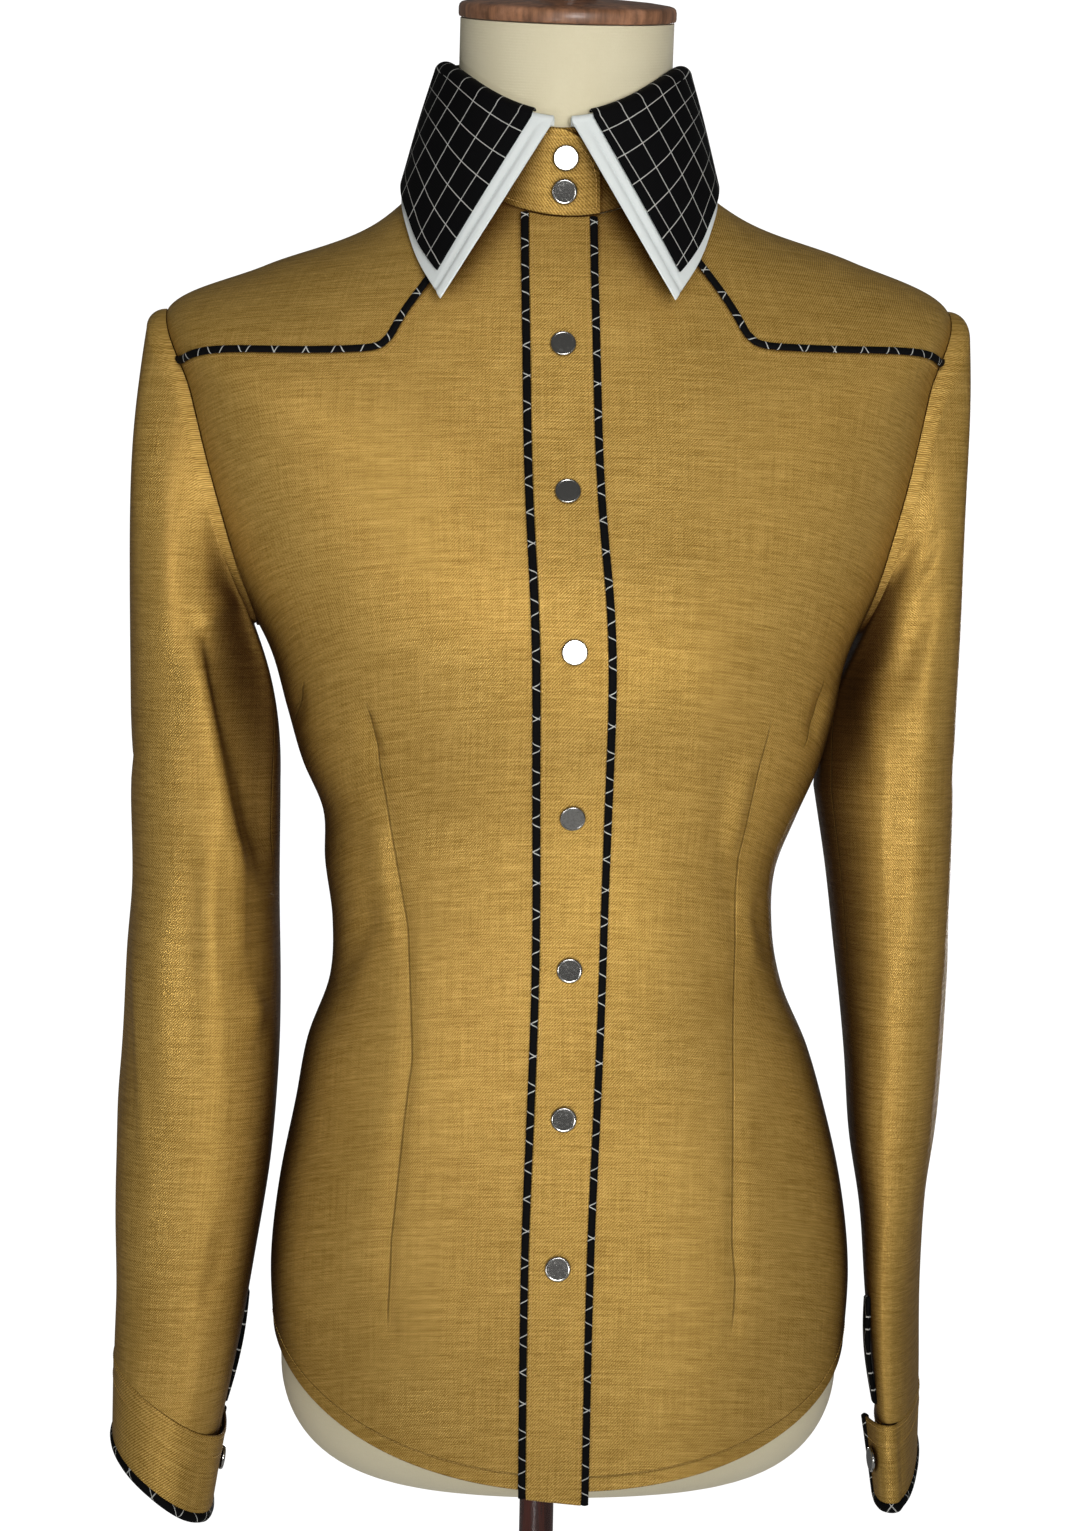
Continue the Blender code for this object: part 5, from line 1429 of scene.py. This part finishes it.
# ---- operators: one for each piece or group of like pieces ----
class SHIRT_OT_fronts(Operator):
    """Sew both fronts, with their darts and stitched hems"""

    bl_idname = "shirt.fronts"
    bl_label = "Fronts"

    def execute(self, context):
        for hand, (side, _) in HANDS.items():
            pairs = front_pairs(side)
            turn, along = pairs[..., 0], pairs[..., 1]
            base, out = body(turn, along), normal(body, turn, along)
            seams = [
                seam_marks(base, out, DARTS[hand], -1),
                seam_marks(base, out, BUST_DARTS[hand], -1),
                hem_marks(turn, along),
            ]
            path = line(np.abs(pairs[0, 0, 0]) * 1.3, np.pi / 2 - 0.02, 200)
            row = stitch_row(stack(path * side, hem(path) + HEM_STITCH))
            thread = tan_stitches(f"hem_stitches_{hand}", [row])
            body_panel(f"shirt_front_{hand}", f"front_{hand}", pairs, seams)
        return {"FINISHED"}


class SHIRT_OT_back(Operator):
    """Sew the back, with its two waist darts and stitched hem"""

    bl_idname = "shirt.back"
    bl_label = "Back"

    def execute(self, context):
        pairs = back_pairs()
        turn, along = pairs[..., 0], pairs[..., 1]
        base, out = body(turn, along), normal(body, turn, along)
        seams = [seam_marks(base, out, dart, 1) for dart in BACK_DARTS] + [hem_marks(turn, along)]
        path = line(np.pi / 2 + 0.02, 3 * np.pi / 2 - 0.02, 300)
        seam = back_seam(pairs[-1, 0], 200) - [0, BACK_STITCH]
        rows = [stitch_row(stack(path, hem(path) + HEM_STITCH)), stitch_row(seam)]
        thread = tan_stitches("back_stitches", rows)
        body_panel("shirt_back", "back", pairs, seams)
        return {"FINISHED"}


class SHIRT_OT_yokes(Operator):
    """Sew the pointed front yokes and the back yoke"""

    bl_idname = "shirt.yokes"
    bl_label = "Yokes"

    def execute(self, context):
        for hand, (side, _) in HANDS.items():
            seam = chart(yoke_seam(1), 0.0, 1)
            run = unit(np.gradient(seam, axis=0) * [YOKE_METRES, 1.0])
            inward = stack(run[:, 1] * YOKE_STITCH / YOKE_METRES, -run[:, 0] * YOKE_STITCH)
            row = stitch_row(mirrored(chart(seam + inward, 0.0, -1)[6:-2], side))
            thread = tan_stitches(f"yoke_stitches_{hand}", [row])
            body_panel(f"shirt_yoke_{hand}", f"yoke_front_{hand}", yoke_front_pairs(side))
        body_panel("shirt_yoke_back", "yoke_back", yoke_back_pairs())
        return {"FINISHED"}


PLACKET_HALF, PLACKET_STITCH = 0.0165, 0.085  # its usual half width, and how far in the stitches lie


def placket_pairs(shares, rows=240):
    """The band as (turn, along) pairs, a column at each share of its half width."""
    along = line(hem(0.0), NECK_ALONG - 4 * SEAM, rows + 1)
    middle, half = band("middle", along)[:, None], band("half", along)[:, None]
    x = middle + half * shares[None]
    at = np.broadcast_to(along[:, None], x.shape).copy()
    below = PLACKET_BELOW + PLACKET_SLANT * (x - middle)
    at -= below * ease(0.06, 0.0, at - hem(0.0))
    return stack(turn_at(x, at), at)


class SHIRT_OT_placket(Operator):
    """Sew the front band over the closing edges, with its edge stitching"""

    bl_idname = "shirt.placket"
    bl_label = "Placket"

    def execute(self, context):
        reach = 1 - (PIPING_WIDE / 2 + SEAM) / PLACKET_HALF
        pairs = placket_pairs(np.linspace(-reach, reach, 21))
        rows = []
        for share in (-reach + PLACKET_STITCH, reach - PLACKET_STITCH):
            edge = placket_pairs(np.array([share]))[:, 0]
            rows.append(stitch_row(edge[2:-2], BAND_LIFT + STITCH_LIFT, 700))
        thread = tan_stitches("placket_stitches", rows)
        body_panel("shirt_placket", "placket", pairs, lift=BAND_LIFT)
        return {"FINISHED"}


class SHIRT_OT_piping(Operator):
    """Lay the checked piping beside the placket and along the front yokes"""

    bl_idname = "shirt.piping"
    bl_label = "Piping"

    def execute(self, context):
        for hand, (side, _) in HANDS.items():
            beside = placket_pairs(np.array([float(side)]))[:, 0]
            yoke = (yoke_seam(1) + yoke_seam(-1)) / 2
            yoke[0, 1] -= YOKE_PIPING_SHORT[0]
            yoke[-1, 0] -= YOKE_PIPING_SHORT[1]
            for place, pairs, count in (("placket", beside, 420), ("yoke", mirrored(yoke, side), 150)):
                pairs = resampled(pairs, count)
                turn, along = pairs[:, 0], pairs[:, 1]
                high = normal(body, turn, along)
                centre = worn(turn, along, SEAM + PIPING_HIGH / 2)
                wide = unit(np.cross(high, np.gradient(centre, axis=0)))
                made = tube(f"{place}_piping_{hand}", centre, wide, high, PIPING_WIDE / 2, PIPING_HIGH / 2)
                place_piece(made, windowpane, "black_windowpane", f"piping_{place}_{hand}")
        return {"FINISHED"}


# A cap's profile, in shares of its radius and thickness.
SNAP_PROFILE = (
    (0, 0), (0.93, 0), (0.985, 0.10), (1, 0.32), (0.992, 0.55), (0.97, 0.74), (0.93, 0.86), (0.88, 0.90),
    (0.845, 0.86), (0.82, 0.845), (0.78, 0.85), (0.6, 0.862), (0.35, 0.87), (0, 0.875),
)
SNAP_SEAT = 0.0002  # its underside is this far above what it is set on


def snap_cap(name, centre, axis, node):
    """A plain pressed cap with a rolled rim and a slightly crowned face."""
    profile = [(SNAP_RADIUS * r, SNAP_THICK * t) for r, t in SNAP_PROFILE]
    return place_piece(lathe(name, profile, 40, centre, axis), snap_metal, "snap_metal", node)


class SHIRT_OT_snaps(Operator):
    """Set the metal snap caps on the placket, the collar stand and the cuffs"""

    bl_idname = "shirt.snaps"
    bl_label = "Snaps"

    def execute(self, context):
        for number, z in enumerate(SNAP_HEIGHTS, 1):
            turn, along = front_at(band("middle", np.array(z)), z)
            axis = normal(body, turn, along) + np.array([0, 0, SNAP_NOD[number - 1]])
            foot = worn(turn, along, BAND_LIFT + SNAP_SEAT)
            snap_cap(f"placket_snap_{number}", foot, axis, f"snap_front_{number}")
        for number, share in enumerate(COLLAR_SNAPS, 1):
            turn, share = np.array(COLLAR_SNAP_TURN), np.array(share)
            high = normal(stand, turn, share)
            foot = stand(turn, share) + high * (STAND_LIFT + SNAP_SEAT)
            nod = np.array([0, 0, STAND_SNAP_NOD[number - 1]])
            snap_cap(f"stand_snap_{number}", foot, high + nod, f"snap_collar_{number}")
        for hand, (side, table) in HANDS.items():
            surface, opening = sleeve(side, table), OPENINGS[hand]
            spot, middle = np.array(opening.starts + 2 * np.pi + 0.4 * CUFF_LAP), np.array(1.5)
            lift = LAYER + 5 * SEAM + opening.flare * 0.35
            foot = surface(spot, middle) + sleeve_out(side, surface, spot, middle) * lift
            snap_cap(f"cuff_snap_{hand}", foot, foot - surface(spot, middle), f"snap_cuff_{hand}")
        return {"FINISHED"}


def arm(hand):
    """Its side, its plain surface, and worn_sleeve(place, down, lift): its cloth with the folds."""
    side, table = HANDS[hand]
    surface = sleeve(side, table)

    def worn_sleeve(place, down, lift=0.0):
        base = surface(place, down)
        out = sleeve_out(side, surface, place, down)
        calm = ease(0.02, 0.12, down) * ease(1.0, 0.93, down)
        moved = creased(base, out, SLEEVE_FOLDS[hand], side) + 0.0011 * rumple(base, 0.11)
        back = 0.0
        for hollow in UNDER_HOLLOWS[hand]:
            off = (np.degrees(place) % 360 - hollow.middle) / hollow.half
            swell = np.cos(np.clip(off, -1, 1) * np.pi / 2) ** 2
            for end in (hollow.start, hollow.end):
                swell = swell * ease(end, hollow.deepest, down)
            back = back + swell * hollow.depth / 1000 * (1 if hollow.middle < 180 else -1)
        back = back * bpy.context.scene.shirt_cloth.folds
        return base + out * (moved * calm + lift)[..., None] + stack(0.0, back, 0.0)

    return side, surface, worn_sleeve


SLEEVE_COLUMNS, SLEEVE_END = 112, 0.9993  # its cloth ends just above the cuff seam
SEAM_RADIUS, CUT_RADIUS = 0.042, 0.046  # a sleeve's radius, as its seam's marks and its flat cut take it


class SHIRT_OT_sleeves(Operator):
    """Sew both sleeves, with their seams, slit bindings and folds"""

    bl_idname = "shirt.sleeves"
    bl_label = "Sleeves"

    def execute(self, context):
        thick = context.scene.shirt_cloth.thickness
        for hand in HANDS:
            side, surface, worn_sleeve = arm(hand)
            down = [line(0, HEAD, 12), line(HEAD, UPPER, 75)[1:], line(UPPER, SLEEVE_END, 100)[1:]]
            down = np.concatenate(down)[:, None]
            start, end = np.radians(SLEEVE_SEAM[hand])
            seam_place = start + (end - start) * ease(0.0, UPPER, down)
            step = (np.arange(SLEEVE_COLUMNS) * 2 * np.pi / SLEEVE_COLUMNS)[None]
            place = seam_place + step
            outer = worn_sleeve(place, down)
            out = sleeve_out(side, surface, place, down)
            gone = np.minimum(step, 2 * np.pi - step) * SEAM_RADIUS
            seam = stack(gone + 0 * down, ease(0.0, 0.01, down) + 0 * place)
            columns = line(0, 2 * np.pi * CUT_RADIUS, SLEEVE_COLUMNS + 1)[None]
            cut = stack(columns, closed(outer[..., 2]))
            made = cloth(f"shirt_sleeve_{hand}", outer, thick, cut, out, [seam], True)
            place_piece(made, tan_twill, "tan_twill", f"sleeve_{hand}")
            size, area = flat_size(surface(place, down), True)

            slit = line(SLIT_TOP, SLIT_END, 50)[:, None]
            place = (OPENINGS[hand].starts + SLIT_AFTER + SLIT_HALF * line(-1, 1, 9))[None]
            share = (slit - SLIT_TOP) / (SLIT_END - SLIT_TOP)
            lift = SEAM + OPENINGS[hand].slit_flare * np.sin(np.pi * share) + 0 * place + BINDING_LIFT
            outer = worn_sleeve(place, slit, lift)
            across, long = BINDING_CUT
            cut, out = stack(line(0, across, 9)[None], long * share), sleeve_out(side, surface, place, slit)
            made = cloth(f"slit_binding_{hand}", outer, BINDING_THICK, cut, out)
            place_piece(made, windowpane, "black_windowpane", f"sleeve_binding_{hand}")
            size, area = flat_size(outer)
            size, area = (max(1.2 * size[0], 0.012), size[1]), 1.15 * area  # it turns in at both edges
            area = max(area, 0.5 * size[0] * size[1])
        return {"FINISHED"}


CUFF_ROWS, CUFF_COLUMNS = 26, 150
PIPING_FROM = 15  # columns of a cuff under its lap, which have no piping


class SHIRT_OT_cuffs(Operator):
    """Sew the lapped cuffs, with two rows of stitching and checked piping"""

    bl_idname = "shirt.cuffs"
    bl_label = "Cuffs"

    def execute(self, context):
        thick = context.scene.shirt_cloth.thickness
        for hand, (side, table) in HANDS.items():
            surface = sleeve(side, table)
            starts, stand_off = OPENINGS[hand].starts, OPENINGS[hand].flare
            ends = starts + 2 * np.pi + CUFF_LAP

            def cuff(place, down, more=0.0):
                """The cuff's outer face: its lapped end rises over the under end and stands off a little."""
                over = ease(ends - 2 * CUFF_LAP - CUFF_RISE, ends - 2 * CUFF_LAP, place)
                flare = stand_off * np.clip((place - ends + CUFF_LAP) / CUFF_LAP, 0, 1) ** 2 * (2.05 - down)
                lift = SEAM + (LAYER + 3 * SEAM) * over + flare + more
                return surface(place, down) + sleeve_out(side, surface, place, down) * lift[..., None]

            down, place = line(1.006, 1.99, CUFF_ROWS)[:, None], line(starts, ends, CUFF_COLUMNS)[None]
            outer = cuff(place, down)
            out = sleeve_out(side, surface, place, down)
            size, area = flat_size(outer)
            cut = stack(line(0, size[0], CUFF_COLUMNS)[None], -(down - 1) * size[1])
            rows = []
            for at in CUFF_STITCHES:
                path = line(starts + 0.02, ends - 0.02, 260)
                where = np.full_like(path, at)
                rows.append((cuff(path, where, STITCH_LIFT), sleeve_out(side, surface, path, where)))
            thread = tan_stitches(f"cuff_stitches_{hand}", rows)
            made = cloth(f"shirt_cuff_{hand}", outer, thick, cut, out)
            place_piece(made, tan_twill, "tan_twill", f"cuff_{hand}")

            mid = outer - out * (LAYER / 2)
            fall, past = unit(mid[-1] - mid[-2]), unit(mid[:, -1] - mid[:, -2])
            arc = np.radians([18, 36, 54, 72])[:, None]
            corner = np.cos(arc) * fall[-1] + np.sin(arc) * past[-1]
            wide = np.concatenate([fall[PIPING_FROM:], corner, past[::-1]])
            edge = [mid[-1, PIPING_FROM:], np.tile(mid[-1, -1], (len(arc), 1)), mid[::-1, -1]]
            centre = np.concatenate(edge) + wide * (SEAM + PIPING_ROUND)
            centre, wide = resampled(centre, 200), unit(resampled(centre, 200, wide))
            thin = unit(np.cross(wide, np.gradient(centre, axis=0)))
            made = tube(f"cuff_piping_{hand}", centre, wide, thin, 1.6 * PIPING_ROUND, 1.1 * PIPING_ROUND)
            place_piece(made, windowpane, "black_windowpane", f"piping_cuff_{hand}")
        return {"FINISHED"}


STAND_ALONG, STAND_HIGH = 0.058, 0.034  # its flat cut: metres for each radian, and its height
STAND_STITCHES = (0.06, 0.93)  # shares of its height


class SHIRT_OT_stand(Operator):
    """Sew the collar stand with its rounded lapped end"""

    bl_idname = "shirt.stand"
    bl_label = "Collar stand"

    def execute(self, context):
        thick = context.scene.shirt_cloth.thickness

        def placed(turn, share):
            """Its share of the full height, with the rounded end, and its lift, less where it laps under."""
            gone = np.clip((STAND_LAP - turn) / STAND_ROUND, 0, 1)
            top = STAND_END_LOW + STAND_END_RISE * np.sqrt(1 - (1 - gone) ** 2)
            under = ease(0, 1, (STAND_STEPS_IN - turn - 2 * np.pi) / STAND_STEP)
            return share * top, STAND_LIFT - (LAYER + 2 * SEAM) * under

        first = STAND_LAP - STAND_ROUND * (1 - np.cos(line(0, np.pi / 2, 24)))
        turn = np.concatenate([first, line(first[-1], STAND_UNDER - 2 * np.pi, 170)[1:]])[None]
        turn, share, lift = np.broadcast_arrays(turn, *placed(turn, line(0, 1, 18)[:, None]))
        outer = lifted(stand, turn, share, lift[..., None])
        size, area = flat_size(outer)
        cut = stack(-turn * STAND_ALONG, share * STAND_HIGH)
        made = cloth("shirt_collar_stand", outer, thick, cut, normal(stand, turn, share))
        # One row runs up the rounded end and along the top, and one along the neck seam.
        path = STAND_LAP - 0.03 - (STAND_ROUND - 0.02) * (1 - np.cos(line(0, np.pi / 2, 60)))
        path = np.concatenate([path, line(path[-1], -np.radians(40), 40)[1:]])
        low, high = (np.full_like(path, share) for share in STAND_STITCHES)
        high, _ = placed(path + 0.03, high)
        rising = line(low[0], high[0], 20)
        end_and_top = np.full_like(rising, path[0]), path[1:]
        rows = []
        for turns, shares in ((np.concatenate(end_and_top), np.concatenate([rising, high[1:]])), (path, low)):
            row = lifted(stand, turns, shares, STAND_LIFT + STITCH_LIFT)
            rows.append((row, normal(stand, turns, shares)))
        thread = tan_stitches("stand_stitches", rows)
        place_piece(made, tan_twill, "tan_twill", "collar_stand")
        return {"FINISHED"}


# Along a leaf's front edge: height of the rib and of the groove beside it, their place and half width.
LEAF_EDGE = ((0.0006, 0.28, 0.20), (-0.0007, 0.60, 0.10))
LEAF_COLUMNS, LEAF_STITCH_SINK = 221, 0.0006


class SHIRT_OT_leaves(Operator):
    """Sew the collar's white under leaf and its checked top leaf"""

    bl_idname = "shirt.leaves"
    bl_label = "Collar leaves"

    def execute(self, context):
        thick = context.scene.shirt_cloth.thickness
        w = np.concatenate([line(0, FOLD, 30), line(FOLD, 1, 56)[1:]])[:, None]
        v = power(line(-1, 1, LEAF_COLUMNS), 0.93)[None]
        v, w = np.broadcast_arrays(v, w)
        front = (1 - np.abs(v)) / (1 - BLACK_SIDE)
        edge = sum(height * np.exp(-(((front - at) / half) ** 2)) for height, at, half in LEAF_EDGE)
        edge = edge * ease(FOLD, FOLD + 0.08, w)
        outer, out = lifted(collar, v, w, (LAYER + edge)[..., None]), normal(collar, v, w)
        drop = np.where(w < FOLD, w / FOLD * 0.02, 0.02 + (w - FOLD) / (1 - FOLD) * 0.062)
        cut = stack(v * 0.205, -drop)
        made = cloth("shirt_collar_under", outer, thick, cut, out)
        size, area = flat_size(outer)
        rows = []
        for sign in (-1, 1):
            down = line(FOLD + 0.05, 0.972, 160)
            across = np.full_like(down, sign * (1 - 0.6 * (1 - BLACK_SIDE)))
            row = lifted(collar, across, down, LAYER - LEAF_STITCH_SINK)
            rows.append((row, normal(collar, across, down)))
        thread = stitches("leaf_stitches", rows, 0.00016)
        place_piece(thread, white_thread, "white_cotton")
        place_piece(made, white_cotton, "white_cotton", "collar_white")

        w = np.concatenate([line(BLACK_START, FOLD, 20), line(FOLD, BLACK_END, 60)[1:]])[:, None]
        v = line(-BLACK_SIDE, BLACK_SIDE, LEAF_COLUMNS)[None]
        v, w = np.broadcast_arrays(v, w)
        outer = lifted(collar, v, w, 2 * LAYER + 2 * SEAM)
        drop = np.where(w < FOLD, (w - BLACK_START) * 0.05, 0.0065 + (w - FOLD) / (1 - FOLD) * 0.070)
        # Both halves are cut alike and a little askew, so the check's lines slant to the leaf's edges.
        round_it = np.abs(v) * 0.212 + np.where(v < 0, 0.004, 0.0)
        one, two = 0.783 * round_it + 0.059 * drop, 1.073 * drop - 0.11 * round_it
        cut = stack(one + two, one - two) * DIAGONAL
        made = cloth("shirt_collar_top", outer, thick, cut, normal(collar, v, w))
        place_piece(made, windowpane, "black_windowpane", "collar_black")
        size, area = flat_size(outer)
        return {"FINISHED"}


def neck_middle(z):
    """The middle of the form's leaning neck at this height."""
    return np.array([0.0, 0.0, FORM_NECK_FROM]) + FORM_NECK_AXIS * (z - FORM_NECK_FROM) / FORM_NECK_AXIS[2]


FORM_SIDES = 160
# How far the form lies below the cloth's outer face, by the way along the cloth.
FORM_INSETS = {
    0.83: FORM_SEAT,
    0.90: FORM_INSET,
    1.315: FORM_INSET,
    1.345: 0.0040,
    1.368: 0.0041,
    1.39: 0.0052,
    1.41: 0.0061,
    1.43: FORM_INSET,
}


class FORM_OT_torso(Operator):
    """Shape the padded dress form under its jersey, with its neck"""

    bl_idname = "dress_form.torso"
    bl_label = "Form"

    def execute(self, context):
        turn = np.arange(FORM_SIDES) * 2 * np.pi / FORM_SIDES
        widest = FORM_BOTTOM + FORM_ROUNDING
        centre = np.array([smooth(BODY, "along", "shift", widest), FORM_MIDDLE, 0.0])
        rim = lifted(body, turn, np.full_like(turn, widest), -FORM_SEAT)
        rings = []
        for angle in np.radians([2, *line(6, 90, 26)]):
            ring = centre + (rim - centre) * np.sin(angle) ** FORM_FULL
            ring[:, 2] = widest - FORM_ROUNDING * np.cos(angle)
            rings.append(ring)
        for along in (*line(0.812, 1.32, 96), *line(1.325, NECK_ALONG, 26)):
            inset = np.interp(along, list(FORM_INSETS), list(FORM_INSETS.values()))
            rings.append(lifted(body, turn, np.full_like(turn, along), -inset))
        ahead = np.array([0.0, np.cos(FORM_NECK_LEAN), np.sin(FORM_NECK_LEAN)])
        spokes = np.sin(turn)[:, None] * np.array([1.0, 0, 0]) - np.cos(turn)[:, None] * ahead
        neck = [neck_middle(z) + spokes * FORM_NECK_RADIUS for z in line(FORM_NECK_START, FORM_NECK_TOP, 12)]
        low, high = rings[-1], neck[0]
        rings += [low + (high - low) * share for share in line(0, 1, 9)[1:-1]]
        rings = np.array(rings + neck)
        rise = gone_along(rings[:, 0])
        foot, gone = (centre[0], FORM_MIDDLE, FORM_BOTTOM), np.array([0, *rise, rise[-1]])
        made = skin("dress_form", rings, foot, neck_middle(FORM_NECK_TOP), gone, 0.8)
        place_piece(made, form_jersey, "form_jersey", "form_torso")
        return {"FINISHED"}


class FORM_OT_cap(Operator):
    """Turn the worn wooden neck cap and its finial"""

    bl_idname = "dress_form.cap"
    bl_label = "Neck cap"

    def execute(self, context):
        axis = FORM_NECK_AXIS
        foot = neck_middle(FORM_NECK_TOP) + axis * SEAM
        r, t = CAP_RADIUS, CAP_THICK
        top = t + CAP_CROWN
        cap = [(0, 0), (r - 0.0012, 0), (r - 0.0003, 0.0005), (r, 0.0016), (r, t - 0.0028)]
        cap += [(r - 0.0004, t - 0.0012), (r - 0.0014, t - 0.0002), (r - 0.0030, t + 0.0003)]
        cap += [(r * 0.8, t + 0.0014), (r * 0.6, t + 0.0022), (r * 0.35, t + 0.0027), (0.016, top), (0, top)]
        place_piece(lathe("neck_cap", cap, 96, foot, axis), worn_wood, "worn_wood", "form_neck_cap")
        knob = [(0, 0), (0.0142, 0), (0.0147, 0.0008), (0.0147, 0.0042), (0.0138, 0.0052), (0.0110, 0.0068)]
        knob += [(0.0082, 0.0092), (0.0074, 0.0120), (0.0077, 0.0148), (0.0092, 0.0166)]
        knob += [(0.0155 * np.sin(a), 0.032 - 0.0175 * np.cos(a)) for a in np.radians(line(36, 172, 18))]
        knob += [(0, 0.0495)]
        made = lathe("neck_finial", knob, 56, foot + axis * (top + SEAM), axis)
        place_piece(made, dark_wood, "dark_wood", "form_finial")
        return {"FINISHED"}


class FORM_OT_stand(Operator):
    """Turn the round base and the pole"""

    bl_idname = "dress_form.stand"
    bl_label = "Stand"

    def execute(self, context):
        r, t = BASE_RADIUS, BASE_THICK
        boss = t + BASE_BOSS
        base = [(0, 0), (r - 0.002, 0), (r - 0.0006, 0.0006), (r, 0.002), (r, t * 0.5)]
        base += [(r - 0.0016, t * 0.62), (r - 0.0045, t * 0.72), (r - 0.0055, t * 0.80), (r - 0.008, t * 0.9)]
        base += [(r * 0.8, t * 0.96), (r * 0.55, t + 0.002), (r * 0.3, t + 0.0032)]
        base += [(0.036, t + 0.0052), (0.0325, t + 0.0060)]
        base += [(0.0315, t + 0.0085), (0.0285, t + 0.0110), (0.0265, t + 0.0150), (0.0258, t + 0.0172)]
        base += [(0.0245, boss), (0, boss)]
        place_piece(lathe("round_base", base, 120), dark_wood, "dark_wood", "stand_base")
        low, high, p = boss + SEAM, FORM_BOTTOM - SEAM, POLE_RADIUS
        pole = [(0, low), (p - 0.0006, low), (p, low + 0.0008)]
        pole += [(p, z) for z in line(low + 0.003, high - 0.003, 24)]
        pole += [(p, high - 0.0008), (p - 0.0006, high), (0, high)]
        place_piece(lathe("stand_pole_turned", pole, 48), dark_wood, "dark_wood", "stand_pole")
        return {"FINISHED"}


def soft_light(name, lamp, watts):
    light = bpy.data.lights.new(name, "AREA")
    light.shape, light.size, light.size_y = "RECTANGLE", *lamp.size
    light.energy, light.spread = watts, np.radians(lamp.spread)
    made = linked(name, light)
    made.location = lamp.place
    made.rotation_euler = (Vector(lamp.target) - Vector(lamp.place)).to_track_quat("-Z", "Y").to_euler()


class STUDIO_OT_stage(Operator):
    """Set up the pale floor, the soft lights and the camera"""

    bl_idname = "studio.stage"
    bl_label = "Studio"

    def execute(self, context):
        studio = context.scene.studio
        angle, radii = line(0, 2 * np.pi, FLOOR_SIDES + 1)[:-1], np.array(FLOOR_RADII)[:, None]
        rings = stack(radii * np.cos(angle), radii * np.sin(angle), -FLOOR_DROP)
        index = closed(1 + np.arange(len(FLOOR_RADII) * FLOOR_SIDES).reshape(-1, FLOOR_SIDES))
        middle = stack(0, index[0, :-1], index[0, 1:])
        points = np.concatenate([[(0, 0, -FLOOR_DROP)], rings.reshape(-1, 3)])
        floor = mesh_object("pale_floor", points, [*middle, *quads(index)])
        made, shader, wire = shader_of("floor_paint")
        cloud = noise(wire, in_space(wire), 3.0)
        join(cloud.colours((0.86, 0.86, 0.86), (0.88, 0.88, 0.88)), shader, "Base Color")
        set_up(shader, Roughness=0.9, Specular_IOR_Level=0.1)
        set_up(shader, Emission_Color=(1, 1, 1, 1), Emission_Strength=0.22)
        floor.data.materials.append(made)
        floor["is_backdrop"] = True

        world = bpy.data.worlds.new("studio_room")
        context.scene.world = world
        world.use_nodes = True
        wire, background = Wire(world.node_tree), world.node_tree.nodes["Background"]
        seen = wire.node("ShaderNodeLightPath")
        strength = wire.node("ShaderNodeMix", None, {0: seen, 2: studio.room, 3: BACKDROP})
        set_up(background, Color=(1, 1, 1, 1))
        join(strength, background, "Strength")
        for name, lamp in LAMPS.items():
            soft_light(f"{name}_light", lamp, getattr(studio, name))

        camera = bpy.data.cameras.new("camera")
        made = linked("camera", camera)
        ahead = CAMERA_AWAY * np.array([np.sin(CAMERA_TURN), np.cos(CAMERA_TURN)])
        place, target = Vector((*-ahead, CAMERA_HEIGHT)), Vector(CAMERA_AIM)
        camera.sensor_fit, camera.sensor_height = "VERTICAL", SENSOR
        camera.lens = SENSOR * (target - place).length / CAMERA_SEES
        aimed = (target - place).to_track_quat("-Z", "Y").to_matrix().to_4x4()
        made.matrix_world = Matrix.Translation(place) @ aimed @ Matrix.Rotation(CAMERA_ROLL, 4, "Z")
        context.scene.camera = made
        context.scene.view_settings.view_transform = "Standard"
        return {"FINISHED"}


PIECES = (
    FORM_OT_torso,
    FORM_OT_cap,
    FORM_OT_stand,
    SHIRT_OT_fronts,
    SHIRT_OT_back,
    SHIRT_OT_yokes,
    SHIRT_OT_placket,
    SHIRT_OT_piping,
    SHIRT_OT_snaps,
    SHIRT_OT_sleeves,
    SHIRT_OT_cuffs,
    SHIRT_OT_stand,
    SHIRT_OT_leaves,
    STUDIO_OT_stage,
)


class SHIRT_PT_pieces(Panel):
    """Sizes, colours and pieces of the shirt"""

    bl_idname = "SHIRT_PT_pieces"
    bl_label = "Western Snap Shirt"
    bl_space_type = "VIEW_3D"
    bl_region_type = "UI"
    bl_category = "Shirt"

    def draw(self, context):
        layout = self.layout
        for scene_name in GROUPS:
            box, group = layout.box(), getattr(context.scene, scene_name)
            for name in group.__annotations__:
                box.prop(group, name)
        for piece in PIECES:
            layout.operator(piece.bl_idname)


GROUPS = {
    "shirt_cloth": ClothSettings,
    "shirt_trim": TrimSettings,
    "dress_form": FormSettings,
    "studio": StudioSettings,
}


def register():
    for made in (*GROUPS.values(), *PIECES, SHIRT_PT_pieces):
        bpy.utils.register_class(made)
    for name, group in GROUPS.items():
        setattr(bpy.types.Scene, name, PointerProperty(type=group))


def unregister():
    for name in GROUPS:
        delattr(bpy.types.Scene, name)
    for made in reversed((*GROUPS.values(), *PIECES, SHIRT_PT_pieces)):
        bpy.utils.unregister_class(made)


def main():
    register()
    for piece in PIECES:
        family, name = piece.bl_idname.split(".")
        getattr(getattr(bpy.ops, family), name)()
    boxes = {"cad": CAD_BOX, "visual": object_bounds()}
    plain = {name: [[float(n) for n in corner] for corner in box] for name, box in boxes.items()}


if __name__ == "__main__":
    main()
